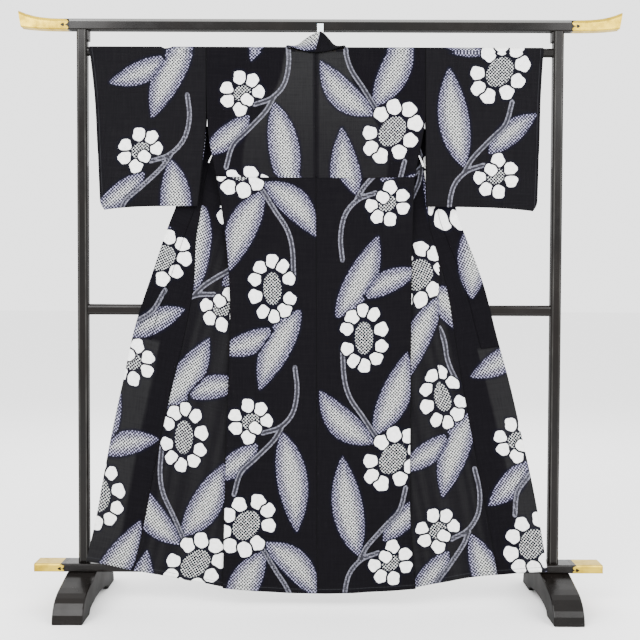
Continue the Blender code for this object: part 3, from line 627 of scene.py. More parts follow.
def smoothed_normals(points, active):
    """Normals at the points of a grid, from its active cells."""
    normals = np.zeros_like(points)
    facing = cell_facings(points) * active[..., None]
    for corner in CELL_CORNERS:
        normals[corner] += facing
    length = np.linalg.norm(normals, axis=-1, keepdims=True)
    return normals / np.maximum(length, 1e-12)


def flat_layout(points, active):
    """Where each grid point lies when the panel is rolled out flat, in metres."""
    steps = np.linalg.norm(np.diff(points, axis=1), axis=-1)
    widths = np.concatenate([np.zeros((len(points), 1)), np.cumsum(steps, axis=1)], axis=1)
    rows = np.linalg.norm(np.diff(points, axis=0), axis=-1)
    used = active.any(axis=0)
    rows = (rows[:, :-1] * used).sum(axis=1) / used.sum()
    lengths = np.concatenate([[0.0], np.cumsum(rows)])
    return widths, np.broadcast_to(lengths[:, None], widths.shape)


def cloth_panel(name, points, active, thickness, fields, cotton, closed=False):
    """A thin closed shell of cloth on a grid of middle points, and its area.

    The fields ride on its points. A closed panel's last column of points is its first."""
    rows, columns = active.shape
    normals = smoothed_normals(points, active)
    used = np.zeros(points.shape[:2], bool)
    for corner in CELL_CORNERS:
        used[corner] |= active
    if closed:
        seam = normals[:, 0] + normals[:, -1]
        seam /= np.linalg.norm(seam, axis=-1, keepdims=True)
        normals[:, 0] = normals[:, -1] = seam
        used[:, -1] = False
    count = int(used.sum())
    index = np.full(used.shape, -1)
    index[used] = np.arange(count)
    if closed:
        index[:, -1] = index[:, 0]
    outer = points[used] + normals[used] * thickness / 2
    inner = points[used] - normals[used] * thickness / 2
    j, k = np.nonzero(active)
    corners = ((j, k), (j, k + 1), (j + 1, k + 1), (j + 1, k))
    outer_faces = np.stack([index[at] for at in corners], -1)
    inner_faces = outer_faces[:, [0, 3, 2, 1]] + count
    widths, lengths = flat_layout(points, active)
    across = widths / max(widths[used].max(), 1e-6) * UV_WIDTH + UV_MARGIN
    along = lengths / max(lengths[used].max(), 1e-6) * UV_LENGTH + UV_MARGIN * 2
    flat = np.stack([across, along], -1)
    outer_uv = np.stack([flat[at] for at in corners], 1)
    inner_uv = outer_uv[:, [0, 3, 2, 1]] + np.array([0.5, 0.0])
    padded = np.zeros((rows + 2, columns + 2), bool)
    padded[1:-1, 1:-1] = active
    if closed:
        padded[1:-1, 0] = active[:, -1]
        padded[1:-1, -1] = active[:, 0]
    faces, uvs = [outer_faces, inner_faces], [outer_uv, inner_uv]
    besides = (padded[j, k + 1], padded[j + 1, k + 2], padded[j + 2, k + 1], padded[j + 1, k])
    for number, beside in enumerate(besides):
        start_at, end_at = corners[number], corners[(number + 1) % 4]
        start, end = index[start_at], index[end_at]
        faces.append(np.stack([start + count, end + count, end, start], -1)[~beside])
        uvs.append(np.stack([flat[start_at], flat[end_at], flat[end_at], flat[start_at]], 1)[~beside])
    mesh = bpy.data.meshes.new(name)
    mesh.from_pydata(np.concatenate([outer, inner]), [], np.concatenate(faces).tolist())
    layer = mesh.uv_layers.new(name="OFBake")
    layer.data.foreach_set("uv", np.concatenate(uvs).astype(np.float32).ravel())
    for field, values in fields.items():
        attribute = mesh.attributes.new(field, "FLOAT_VECTOR", "POINT")
        both = np.concatenate([values[used], values[used]]).astype(np.float32)
        attribute.data.foreach_set("vector", both.ravel())
    mesh.shade_smooth()
    mesh.materials.append(cotton)
    made = bpy.data.objects.new(name, mesh)
    bpy.context.scene.collection.objects.link(made)
    area = (np.linalg.norm(cell_facings(points), axis=-1) / 2 * active).sum()
    return made, float(area)


def dye_fields(inward, along, seam, hem, painted_backlight):
    """The fields that the cotton's material reads, one vector each."""
    petals, marks = print_fields(inward, along)
    bolt = np.stack([inward, along, np.zeros_like(inward)], -1)
    # The edges field carries the distances from the seam and the hem, and the share of painted backlight
    edges = np.stack(np.broadcast_arrays(seam, hem, painted_backlight), -1)
    return {"petals": petals, "marks": marks, "bolt": bolt, "edges": edges}


def stack_fields(parts):
    """Joins the fields of parts that lie one below the other."""
    return {name: np.concatenate([part[name] for part in parts]) for name in parts[0]}


def spaced(low, high, step):
    """Even steps from low to high, none longer than the step."""
    count = max(2, int(math.ceil(abs(high - low) / step)) + 1)
    return np.linspace(low, high, count)


def shares(cells):
    """Fractions from 0 to 1, one more than the cells between them."""
    return np.linspace(0, 1, cells + 1)


def every_cell(points):
    """All cells of a grid of points."""
    return np.ones((points.shape[0] - 1, points.shape[1] - 1), bool)


def declare(piece, node):
    """Holds a piece of cloth on the root body, and hides the model's node that it dresses."""
    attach(piece, "root")
    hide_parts(node)


def body_back(which):
    """The back's middle points and print, from the hem up to the shoulder."""
    above = spaced(TUCK_DROP - TUCK_STEP, BACK_TOP_DROP, ROW)
    below = spaced(BODY_LENGTH, TUCK_DROP, ROW)
    drops = np.concatenate([below, above])[:, None]
    edge = side(which, "side", drops)
    inner = NECK_HALF * edge / SHOULDER_HALF
    halves = [edge + (inner - edge) * shares(SIDE_CELLS), inner - inner * shares(NECK_CELLS)[1:]]
    halves = np.concatenate(halves, axis=1)
    lay = BACK_LAY[which]
    above_tuck = drops < TUCK_DROP
    hidden = np.where(above_tuck, 0.0, lay["hidden"])
    along = lay["start"] + lay["turned"] * (drops + hidden) + 0 * halves
    inward = halves + straight(lay["shift"], drops)
    # Painted backlight as a lighter colour: above the tuck, inward of the front's fold, less lower down and
    # over the centre seam's allowance; faint below the tuck, where the lining lies behind
    open_back = 1 - ease(-0.004, 0.004, halves - side(which, "fold", drops))
    near_neck = 1 - NECK_SHADE * ease(*NECK_SHADE_DROPS, drops)
    allowance = 1 - ALLOWANCE_SHADE * (halves < ALLOWANCE_HALF) * above_tuck
    painted_backlight = np.where(above_tuck, open_back * near_neck, LINED_BACKLIGHT) * allowance
    seam = np.minimum(np.minimum(halves, edge - halves), np.abs(drops - TUCK_DROP) + 0.0008)
    fields = dye_fields(inward, along, seam, BODY_LENGTH - drops + 0 * halves, painted_backlight)
    return back_point(which, halves, drops), fields


def body_arc(which):
    """The middle points and print of the cloth that turns over the bar."""
    t, u = shares(SIDE_CELLS), shares(NECK_CELLS)[1:]
    halves = np.concatenate([SHOULDER_HALF + (NECK_HALF - SHOULDER_HALF) * t, NECK_HALF - NECK_HALF * u])
    points = np.array([shoulder_point(which, halves, angle) for angle in ARC_ANGLES])
    points[0, SIDE_CELLS + 1:, 2] -= NECK_DIP * u
    halves = np.broadcast_to(halves, points.shape[:2])
    lay = BACK_LAY[which]
    along = lay["start"] - lay["turned"] * ARC_TRAVEL + 0 * halves
    seam = np.minimum(halves, SHOULDER_HALF - halves)
    return points, dye_fields(halves + lay["shift"][0][1], along, seam, 1.0, 0.0)


def body_front(which):
    """The front's drops, middle points and print, from its side past its fold to its outer edge."""
    drops = spaced(FRONT_TOP_DROP, BODY_LENGTH, ROW)[:, None]
    edge = side(which, "side", drops)
    fold = side(which, "fold", drops)
    run = run_length(which, drops)
    seam_inside = np.maximum(side(which, "overlap", drops), COLLAR_WIDTH)
    inner_halves = edge + (fold - edge) * shares(SIDE_CELLS)
    angles = math.pi * shares(TURN_CELLS)[None, 1:-1]
    insides = run + (seam_inside - run) * shares(OUT_CELLS)
    outer = outward_point(which, insides, drops)
    points = [inner_point(which, inner_halves, drops), turn_point(which, drops, angles), outer]
    points = np.concatenate(points, axis=1)

    lay = FRONT_LAY[which]
    inward_out = insides - seam_inside + straight(lay["shift"], drops)
    if which == "right":
        beyond = ease(PLEAT_HALF - 0.001, PLEAT_HALF + 0.001, np.abs(outer[..., 0]))
        inward_out -= PLEAT_HIDDEN * beyond * ease(*PLEAT_TOP, drops) * (1 - ease(*PLEAT_END, drops))
    loose = ease(0.10, FRONT_FREE_DROP, drops)
    at_fold = inward_out[:, :1] * loose + (fold + BACK_LAY[which]["shift"][0][1]) * (1 - loose)
    turn = 0 * drops * angles
    inward = np.concatenate([at_fold + inner_halves - fold, at_fold + turn, inward_out], axis=1)
    along = straight(lay["start"], drops) + lay["turned"] * drops + 0 * inward
    if which == "left":
        plain = np.zeros(inward.shape, bool)
        for half, lowest in PLAIN_SIDE:
            plain |= (np.abs(points[..., 0]) > half) & (points[..., 2] > lowest)
        inward = np.where(plain, PLAIN_INWARD, inward)
    # Painted backlight as a lighter colour: a faint even share on the inner part and the turn; on the outer
    # part, upright lighter streaks, darker beside the seam, and only lower down
    by_seam = 1 - SEAM_SHADE * (1 - ease(*BESIDE_SEAM, insides - seam_inside))
    streaks = 0.5 + 0.5 * np.sin(insides * 150 + 2.0 * np.sin(insides * 37))
    out_sheer = (STREAK_BACKLIGHT[0] + STREAK_BACKLIGHT[1] * streaks) * by_seam * ease(*FRONT_LIGHTENS, drops)
    painted_backlight = np.concatenate([INNER_BACKLIGHT + 0 * inner_halves, INNER_BACKLIGHT + turn, out_sheer], axis=1)
    seam = np.concatenate([edge - inner_halves, 0.1 + turn, insides - seam_inside], axis=1)
    fields = dye_fields(inward, along, np.abs(seam), BODY_LENGTH - drops + 0 * seam, painted_backlight)
    return drops, points, fields


def body_grid(which):
    """One body length's middle points, active cells and print, from the back hem to the front hem."""
    back, back_fields = body_back(which)
    arc, arc_fields = body_arc(which)
    drops, front, front_fields = body_front(which)
    columns = front.shape[1]

    def widened(values):
        missing = columns - values.shape[1]
        return np.concatenate([values, np.repeat(values[:, -1:], missing, axis=1)], axis=1)

    points = np.concatenate([widened(back), widened(arc), front])
    above = [{name: widened(value) for name, value in part.items()} for part in (back_fields, arc_fields)]
    active = np.zeros((len(points) - 1, columns - 1), bool)
    top = len(back)
    free = drops[:-1] >= FRONT_FREE_DROP - ROW / 2
    active[:, :SIDE_CELLS] = True
    active[:top, SIDE_CELLS:SIDE_CELLS + NECK_CELLS] = True
    active[top, SIDE_CELLS:SIDE_CELLS + NECK_CELLS // 3] = True
    active[top + ARC_STEPS + 1:, SIDE_CELLS:] = free
    return points, active, stack_fields(above + [front_fields])


def add_body_panel(which, cotton):
    """One body length, from the back hem up over the bar and down the front."""
    points, active, fields = body_grid(which)
    piece, area = cloth_panel(f"body_panel_{which}", soften(points), active, WALL, fields, cotton)
    declare(piece, f"body_{which}")


def add_overlap_panel(which, cotton):
    """One overlap strip, from under the collar to the hem, with its own rim below the collar's end."""
    covered = spaced(OVERLAP_TOP_DROP, COLLAR_END_DROP, ROW)
    free = spaced(COLLAR_END_DROP + ROW, BODY_LENGTH, ROW)
    drops = np.concatenate([covered, free])[:, None]
    seam = side(which, "overlap", drops)
    strip = seam + (COLLAR_WIDTH - seam) * shares(OVERLAP_CELLS)
    rim = COLLAR_WIDTH * (1 - shares(OVERLAP_RIM_CELLS)[1:]) + 0 * seam
    insides = np.concatenate([strip, rim], axis=1)
    points = soften(outward_point(which, insides, drops))
    lay = EDGE_LAY[which]
    along = straight(lay["start"], drops) + lay["turned"] * drops + 0 * insides
    inward = insides + straight(lay["shift"], drops)
    if which == "left":
        inward = np.where(drops < PLAIN_EDGE_DROPS[1], PLAIN_INWARD, inward)
    # Painted backlight as a lighter colour: faint above the collar's end, strong below it within the
    # single-layer width from the outer edge
    single = SINGLE_STRIP[which]
    below = ease(COLLAR_END_DROP - 0.002, COLLAR_END_DROP + 0.002, drops)
    low, high = OVERLAP_BACKLIGHT
    painted_backlight = low + (high - low) * below * (1 - ease(single - 0.002, single + 0.002, insides))
    fields = dye_fields(inward, along, seam - insides, BODY_LENGTH - drops + 0 * insides, painted_backlight)
    active = every_cell(points)
    active[:, OVERLAP_CELLS:] = drops[:-1] >= COLLAR_END_DROP - ROW / 2
    piece, area = cloth_panel(f"overlap_panel_{which}", points, active, WALL, fields, cotton)
    declare(piece, f"overlap_{which}")


def neck_points(which, places, across):
    """Points on the collar's band round the neck, from its sewn edge to its free one."""
    read = {name: curve(COLLAR_NECK, NECK_COLUMNS, name, places)[:, None] for name in NECK_COLUMNS[1:]}
    sewn = place(which, read["sewn_half"], read["sewn_y"], read["sewn_z"])
    free = place(which, read["free_half"], read["free_y"], read["free_z"])
    free[..., 0] += read["shift"]
    return sewn + (free - sewn) * across[None, :, None]


def collar_arm(which):
    """Half of the collar, from the middle of the back to where it ends on the front edge."""
    across = shares(COLLAR_CELLS)
    neck = neck_points(which, np.linspace(0, len(COLLAR_NECK) - 1, NECK_ROWS), across)
    drops = spaced(SLEEVE_JOIN_DROP, COLLAR_END_DROP, ROW)[:, None]
    insides = COLLAR_WIDTH * (1 - across)[None, :]
    points = np.concatenate([neck, outward_point(which, insides + 0 * drops, drops)])
    middle = points[:, COLLAR_CELLS // 2]
    run = np.concatenate([[0.0], np.cumsum(np.linalg.norm(np.diff(middle, axis=0), axis=-1))])
    virtual = np.concatenate([drops[0, 0] - (run[NECK_ROWS] - run[:NECK_ROWS]), drops[:, 0]])[:, None]
    lay = EDGE_LAY[which]
    near_peak = (1 - ease(*COLLAR_NEAR_PEAK, run))[:, None]
    inward = insides + straight(lay["shift"], virtual)
    along = straight(lay["start"], virtual) + lay["turned"] * virtual + 0 * inward
    if which == "right":
        inward = inward + COLLAR_PLAIN_SHIFT * near_peak
    else:
        inward = inward - COLLAR_LEAF_SHIFT[0] * near_peak
        along = along + COLLAR_LEAF_SHIFT[1] * near_peak
        plain = (virtual > PLAIN_EDGE_DROPS[0]) & (virtual < PLAIN_EDGE_DROPS[1])
        inward = np.where(plain, PLAIN_INWARD, inward)
    seam = across[None, :] * COLLAR_WIDTH + 0 * inward
    hem = np.abs(COLLAR_END_DROP - virtual) + 0.02 + 0 * inward
    return points, dye_fields(inward, along, seam, hem, 0.0)


def add_collar_band(cotton):
    """The collar as one folded band, from one front edge round the neck to the other."""
    left, left_fields = collar_arm("left")
    right, right_fields = collar_arm("right")
    points = soften(np.concatenate([left[:0:-1], right]))
    turned = {name: value[:0:-1] for name, value in left_fields.items()}
    fields = stack_fields([turned, right_fields])
    piece, area = cloth_panel("collar_band", points, every_cell(points), COLLAR_WALL, fields, cotton)
    declare(piece, "collar")


def sleeve_loop(which, t):
    """The sleeve's middle points at fractions of its width, up the back, over the bar and down the front.

    Also where they lie on the bolt, and how far from the cuff and from the body's side."""
    bottom = SLEEVE_LENGTH + SLEEVE_SAG * t ** 3
    pinched = bottom - SLEEVE_PINCH
    low_drops = bottom - SLEEVE_PINCH * (1 - np.cos(math.pi / 2 * shares(PINCH_ROWS)[:, None]))
    high_drops = pinched + (SLEEVE_TOP_DROP - pinched) * shares(SLEEVE_ROWS)[1:, None]
    drops = np.concatenate([low_drops, high_drops])
    z = CREST_Z - drops
    inner = sleeve(which, "inner", drops)
    outer = sleeve(which, "outer", drops)
    low = np.maximum(0.0, 1 - (bottom - drops) / SLEEVE_PINCH)
    half = inner + (outer - inner) * t - SLEEVE_CORNER * low ** 2 * t ** 6
    middle = (depth("back", z) + depth("front", z)) / 2
    gape = (depth("front", z) - depth("back", z)) / 2
    below_cuff = np.clip((drops - CUFF_DROP) / CUFF_CLOSING, 0, 1)
    sewn = np.maximum(0.0, (t - CUFF_SEAM_START) / (1 - CUFF_SEAM_START))
    closed = np.maximum(low, below_cuff * sewn)
    gape = np.maximum(gape * np.sqrt(np.maximum(0.0, 1 - closed ** 2)), WALL * 0.53)
    back = place(which, half, middle - gape, z)
    front = place(which, half, middle + gape, z)
    top_inner = sleeve(which, "inner", 0.0)
    top_half = top_inner + (sleeve(which, "outer", 0.0) - top_inner) * t
    arc = [shoulder_point(which, top_half, angle) for angle in ARC_ANGLES]
    points = np.concatenate([back] + arc + [front[::-1]])
    travel = ARC_TRAVEL + 0 * t
    lay = SLEEVE_LAY[which]
    down = np.concatenate([drops, -travel, -drops[::-1]])
    along = lay["start"] + lay["turned"] * down
    inside, beside = half - inner, outer - half
    inward = np.concatenate([inside, top_half - top_inner + 0 * travel, inside[::-1]]) + lay["shift"]
    cuff = np.concatenate([beside, 0.3 * (1 - t) + 0 * travel, beside[::-1]])
    body_side = np.concatenate([inside, 0.3 * t + 0 * travel, inside[::-1]])
    return points, inward, along, cuff, body_side


def add_sleeve_panel(which, cotton):
    """The sleeve as one length of cloth folded over the bar, sewn below and at the cuff's lower part."""
    loop = sleeve_loop(which, shares(SLEEVE_CELLS)[None, :])
    points, inward, along, cuff, body_side = (np.concatenate([values, values[:1]]) for values in loop)
    # Painted backlight as a lighter colour on the sleeve, twice as strong beyond the cuff's turn
    painted_backlight = SLEEVE_BACKLIGHT * (1 + ease(0.0, CUFF_TURN, cuff))
    fields = dye_fields(inward, along, body_side, cuff + 0.004, painted_backlight)
    points = np.swapaxes(soften(points), 0, 1)
    fields = {name: np.swapaxes(value, 0, 1) for name, value in fields.items()}
    name = f"sleeve_panel_{which}"
    piece, area = cloth_panel(name, points, every_cell(points), WALL, fields, cotton, closed=True)
    declare(piece, f"sleeve_{which}")


def add_seat_lining_panel(cotton):
    """The plain lining behind the lower back."""
    drops = spaced(LINING_BOTTOM_DROP, LINING_TOP_DROP, LINING_ROW)[:, None]
    left, right = (
        (side(which, "side", drops) - LINING_MARGIN) * (1 - shares(LINING_CELLS))
        for which in ("left", "right")
    )
    points = [back_point("left", left, drops), back_point("right", right, drops)[:, -2::-1]]
    points = np.concatenate(points, axis=1)
    points[..., 1] += WALL / 2 + LINING_WALL / 2
    points = soften(points)
    across = np.concatenate([-left, right[:, -2::-1]], axis=1)
    fields = {"bolt": np.stack([across, drops + 0 * across, 0 * across], -1)}
    piece, area = cloth_panel("seat_lining_panel", points, every_cell(points), LINING_WALL, fields, cotton)
    declare(piece, "seat_lining")


class Nodes:
    """Puts together a material's nodes."""

    def __init__(self, name):
        self.material = bpy.data.materials.new(name)
        self.material.use_nodes = True
        self.tree = self.material.node_tree
        self.shader = self.tree.nodes["Principled BSDF"]

    def add(self, kind, inputs=(), **settings):
        node = self.tree.nodes.new(kind)
        for name, value in settings.items():
            setattr(node, name, value)
        for key, value in dict(inputs).items():
            self.feed(node.inputs[key], value)
        return node

    def feed(self, socket, value):
        if isinstance(value, bpy.types.NodeSocket):
            self.tree.links.new(value, socket)
        else:
            socket.default_value = value

    def set(self, **values):
        for name, value in values.items():
            self.feed(self.shader.inputs[name.replace("_", " ")], value)

    def maths(self, operation, first, second=0.0, third=0.0):
        node = self.add("ShaderNodeMath", {0: first, 1: second, 2: third}, operation=operation)
        return node.outputs[0]

    def plus(self, first, second):
        return self.maths("ADD", first, second)

    def less(self, first, second):
        return self.maths("SUBTRACT", first, second)

    def times(self, first, second):
        return self.maths("MULTIPLY", first, second)

    def scaled(self, value, factor, base):
        """The value times the factor, on top of the base."""
        return self.maths("MULTIPLY_ADD", value, factor, base)

    def least(self, first, second):
        return self.maths("MINIMUM", first, second)

    def most(self, first, *others):
        for other in others:
            first = self.maths("MAXIMUM", first, other)
        return first

    def size(self, value):
        """The value without its sign."""
        return self.maths("ABSOLUTE", value)

    def step(self, value, low, high, to_low=0.0, to_high=1.0):
        """Turns from to_low to to_high as the value passes from low to high."""
        inputs = {"Value": value, "From Min": low, "From Max": high, "To Min": to_low, "To Max": to_high}
        node = self.add("ShaderNodeMapRange", inputs, interpolation_type="SMOOTHSTEP")
        return node.outputs[0]

    def mix(self, factor, first, second, kind="RGBA"):
        """Turns from the first colour, or number, to the second as the factor goes from 0 to 1."""
        node = self.add("ShaderNodeMix", data_type=kind)
        sockets, output = {"RGBA": ((0, 6, 7), 2), "FLOAT": ((0, 2, 3), 0)}[kind]
        for number, value in zip(sockets, (factor, first, second)):
            self.feed(node.inputs[number], value)
        return node.outputs[output]

    def parts(self, vector):
        return tuple(self.add("ShaderNodeSeparateXYZ", {0: vector}).outputs)

    def attribute(self, name):
        return self.add("ShaderNodeAttribute", attribute_name=name).outputs["Vector"]

    def place_at(self):
        return self.add("ShaderNodeTexCoord").outputs["Object"]

    def stretched(self, vector, scale):
        return self.add("ShaderNodeMapping", {"Vector": vector, "Scale": scale}).outputs[0]

    def noise(self, vector, scale, detail=2.0, rough=0.5):
        inputs = {"Vector": vector, "Scale": scale, "Detail": detail, "Roughness": rough}
        return self.add("ShaderNodeTexNoise", inputs).outputs[0]

    def bump(self, height, strength, distance):
        node = self.add("ShaderNodeBump", {"Height": height, "Strength": strength, "Distance": distance})
        self.set(Normal=node.outputs[0])


def paint(colour):
    """A colour with its alpha, as a colour socket takes it."""
    return (*colour, 1.0)


def weave(nodes, vector, pitch):
    """Raised threads, over and under, on a flat layout in metres."""
    turn = 2 * math.pi / pitch
    warp, weft = (nodes.maths("SINE", nodes.times(part, turn)) for part in nodes.parts(vector)[:2])
    return nodes.times(warp, weft)


def dotted_lattice(nodes, vector, pitch):
    """How far each point is from the nearest dot of a diagonal lattice, in dots."""
    turn = {"Vector": vector, "Angle": math.radians(45)}
    turned = nodes.add("ShaderNodeVectorRotate", turn, rotation_type="Z_AXIS").outputs[0]
    scaled = nodes.add("ShaderNodeVectorMath", {0: turned, "Scale": 1 / pitch}, operation="SCALE").outputs[0]
    inputs = {"Vector": scaled, "Scale": 1.0, "Randomness": 0.16}
    dots = nodes.add("ShaderNodeTexVoronoi", inputs, voronoi_dimensions="2D", feature="F1")
    return dots.outputs["Distance"]


# Where the print's changes start and end, in metres into a figure from its edge or from a line's middle
PETAL_EDGE = (0.0000, 0.0013)
PETALS_APART = (0.0044, 0.0066)
CLEAR_OF_PETALS = (-0.0026, -0.0046)
CLEAR_OF_HEART = (-0.0040, -0.0060)
CLEAR_OF_VINE = (0.0082, 0.0098)
LEAF_EDGE = (-0.0006, 0.0016)
LEAF_FULLNESS = (0.004, 0.040)
HEART_EDGE = (0.0006, 0.0024)
VINE_RAIL = 0.0050
VINE_RAIL_EDGE = (0.0026, 0.0012)
VINE_CORE = (0.0062, 0.0045)
HALO_EDGE = (-0.010, 0.0)
SEAM_LINE = (0.0016, 0.0004)
HEM_TURN = 0.0125
HEM_STITCH_EDGE = (0.0012, 0.0003)
HEM_STEP = (0.0125, 0.0110)
STITCHES_IN_METRE = 90.0
COTTON_THREAD = 0.0011
LINING_THREAD = 0.0009


def dyed_cotton(name, cloth):
    """Navy-black cotton with tied white petals, dotted leaves and hearts, and stitched vines."""
    nodes = Nodes(name)
    bolt = nodes.attribute("bolt")
    petals = nodes.parts(nodes.attribute("petals"))
    heart, leaf, vine = nodes.parts(nodes.attribute("marks"))
    # The edges field's third part is the share of painted backlight
    seam, hem, painted_backlight = nodes.parts(nodes.attribute("edges"))
    ragged = nodes.less(nodes.noise(bolt, 260.0, 3.0), 0.5)
    puckered = nodes.noise(bolt, 90.0, 3.0, 0.6)
    dots = dotted_lattice(nodes, bolt, cloth.dot_pitch)

    # The petals, and the gap where two of them meet
    largest = nodes.most(*petals)
    low = nodes.least(petals[0], petals[1])
    high = nodes.most(petals[0], petals[1])
    second = nodes.most(low, nodes.least(high, petals[2]))
    tied = nodes.step(nodes.scaled(ragged, 0.0028, largest), *PETAL_EDGE)
    tied = nodes.times(tied, nodes.step(nodes.less(largest, second), *PETALS_APART))
    off_petals = nodes.step(largest, *CLEAR_OF_PETALS)
    off_flower = nodes.times(off_petals, nodes.step(heart, *CLEAR_OF_HEART))

    # The leaves, fuller of dots towards the middle
    leaf_shape = nodes.step(nodes.scaled(ragged, 0.003, leaf), *LEAF_EDGE)
    leaf_shape = nodes.times(leaf_shape, nodes.times(off_flower, nodes.step(vine, *CLEAR_OF_VINE)))
    fullness = nodes.step(nodes.scaled(puckered, 0.008, leaf), *LEAF_FULLNESS)
    ground = nodes.step(nodes.less(dots, nodes.scaled(fullness, -0.09, 0.50)), -0.04, 0.06)
    leaf_colour = nodes.mix(fullness, paint(cloth.leaf_edge), paint(cloth.leaf_middle))
    leaf_colour = nodes.mix(nodes.scaled(ground, 0.96, 0.04), paint(cloth.speck), leaf_colour)

    # The hearts
    heart_shape = nodes.step(nodes.scaled(ragged, 0.002, heart), *HEART_EDGE)
    heart_shape = nodes.times(heart_shape, off_petals)
    heart_colour = nodes.mix(nodes.step(dots, 0.42, 0.52), paint(cloth.speck), paint(cloth.leaf_middle))

    # The vines: two knotted lines of stitches with a faint core
    knots = nodes.step(nodes.noise(bolt, 150.0, 2.0), 0.36, 0.60, 0.35, 1.0)
    rails = nodes.size(nodes.less(nodes.scaled(ragged, 0.0018, vine), VINE_RAIL))
    vine_shape = nodes.times(nodes.step(rails, *VINE_RAIL_EDGE), knots)
    vine_shape = nodes.times(nodes.most(vine_shape, nodes.step(vine, *VINE_CORE, 0.0, 0.12)), off_flower)

    # The dyed cloth, with painted backlight where one layer lets light through, and lighter where threads are
    # worn
    slubs = nodes.noise(nodes.stretched(bolt, (260.0, 14.0, 1.0)), 1.0, 3.0, 0.6)
    cross_slubs = nodes.noise(nodes.stretched(bolt, (10.0, 210.0, 1.0)), 1.0, 3.0, 0.6)
    threads = nodes.plus(slubs, cross_slubs)
    single = nodes.times(painted_backlight, nodes.step(threads, 0.62, 1.34, 0.55, 1.15))
    colour = nodes.mix(single, paint(cloth.navy_black), paint(cloth.painted_backlight_colour))
    halo = nodes.step(nodes.most(largest, heart, leaf), *HALO_EDGE, 0.0, 0.55)
    colour = nodes.mix(halo, colour, paint(cloth.halo))
    colour = nodes.mix(nodes.step(threads, 0.8, 1.3, 0.0, 0.25), colour, paint(cloth.worn_thread))

    petal_colour = nodes.mix(nodes.step(puckered, 0.35, 0.75), paint(cloth.petal), paint(cloth.petal_fold))
    line = nodes.step(seam, *SEAM_LINE)
    stitch_line = nodes.step(nodes.size(nodes.less(hem, HEM_TURN)), *HEM_STITCH_EDGE)
    stitch_run = nodes.maths("FRACT", nodes.times(nodes.parts(bolt)[0], STITCHES_IN_METRE))
    stitches = nodes.times(stitch_line, nodes.step(stitch_run, 0.12, 0.2, 0.25, 0.7))
    for share, over in (
        (vine_shape, paint(cloth.vine)),
        (leaf_shape, leaf_colour),
        (heart_shape, heart_colour),
        (tied, petal_colour),
        (nodes.times(line, 0.75), paint(cloth.seam)),
        (stitches, paint(cloth.hem_thread)),
    ):
        colour = nodes.mix(share, colour, over)
    roughness = nodes.step(nodes.noise(bolt, 900.0, 2.0), 0.3, 0.7, 0.80, 0.96)
    nodes.set(Base_Color=colour, Roughness=roughness)
    nodes.set(Sheen_Weight=cloth.sheen, Sheen_Roughness=0.45, Specular_IOR_Level=0.03)

    puffed = nodes.times(tied, nodes.scaled(puckered, 0.7, 0.6))
    knotted = nodes.times(nodes.most(leaf_shape, heart_shape), ground)
    relief = nodes.most(puffed, nodes.times(knotted, 0.55))
    relief = nodes.scaled(weave(nodes, bolt, COTTON_THREAD), 0.10, relief)
    relief = nodes.scaled(threads, 0.18, relief)
    relief = nodes.scaled(line, -1.1, relief)
    relief = nodes.scaled(nodes.step(hem, *HEM_STEP), 0.8, relief)
    nodes.bump(relief, 0.7, 0.0007)
    return nodes.material


def plain_cotton(name, colour):
    """Thin plain-woven lining."""
    nodes = Nodes(name)
    bolt = nodes.attribute("bolt")
    slubs = nodes.noise(nodes.stretched(bolt, (220.0, 9.0, 1.0)), 1.0, 3.0)
    lighter = tuple(min(1.0, 1.5 * part) for part in colour)
    nodes.set(Base_Color=nodes.mix(nodes.step(slubs, 0.3, 0.8), paint(colour), paint(lighter)))
    nodes.set(Roughness=nodes.step(slubs, 0.3, 0.8, 0.82, 0.95))
    nodes.set(Sheen_Weight=0.03, Specular_IOR_Level=0.12)
    nodes.bump(nodes.scaled(slubs, 0.6, weave(nodes, bolt, LINING_THREAD)), 0.4, 0.0002)
    return nodes.material


def lacquer_colour(nodes, place_at, stand):
    """Black lacquer, browner where it has thinned."""
    drift = nodes.noise(place_at, 3.0, 4.0, 0.6)
    return nodes.mix(nodes.step(drift, 0.35, 0.75), paint(stand.lacquer), paint(stand.thin_lacquer))


def lacquer_roughness(nodes, place_at):
    """A polish that hands have smeared here and there."""
    smears = nodes.noise(place_at, 14.0, 5.0, 0.65)
    return nodes.step(smears, 0.3, 0.8, 0.14, 0.34)


def lacquer_height(nodes, place_at, axis):
    """Brush strokes that run along the piece, and fine specks of dust under the coat."""
    scale = [2.0 if axis == name else 160.0 for name in "xyz"]
    strokes = nodes.noise(nodes.stretched(place_at, scale), 1.0, 3.0)
    specks = nodes.step(nodes.noise(place_at, 420.0, 1.0), 0.70, 0.78)
    return nodes.scaled(specks, 0.5, strokes)


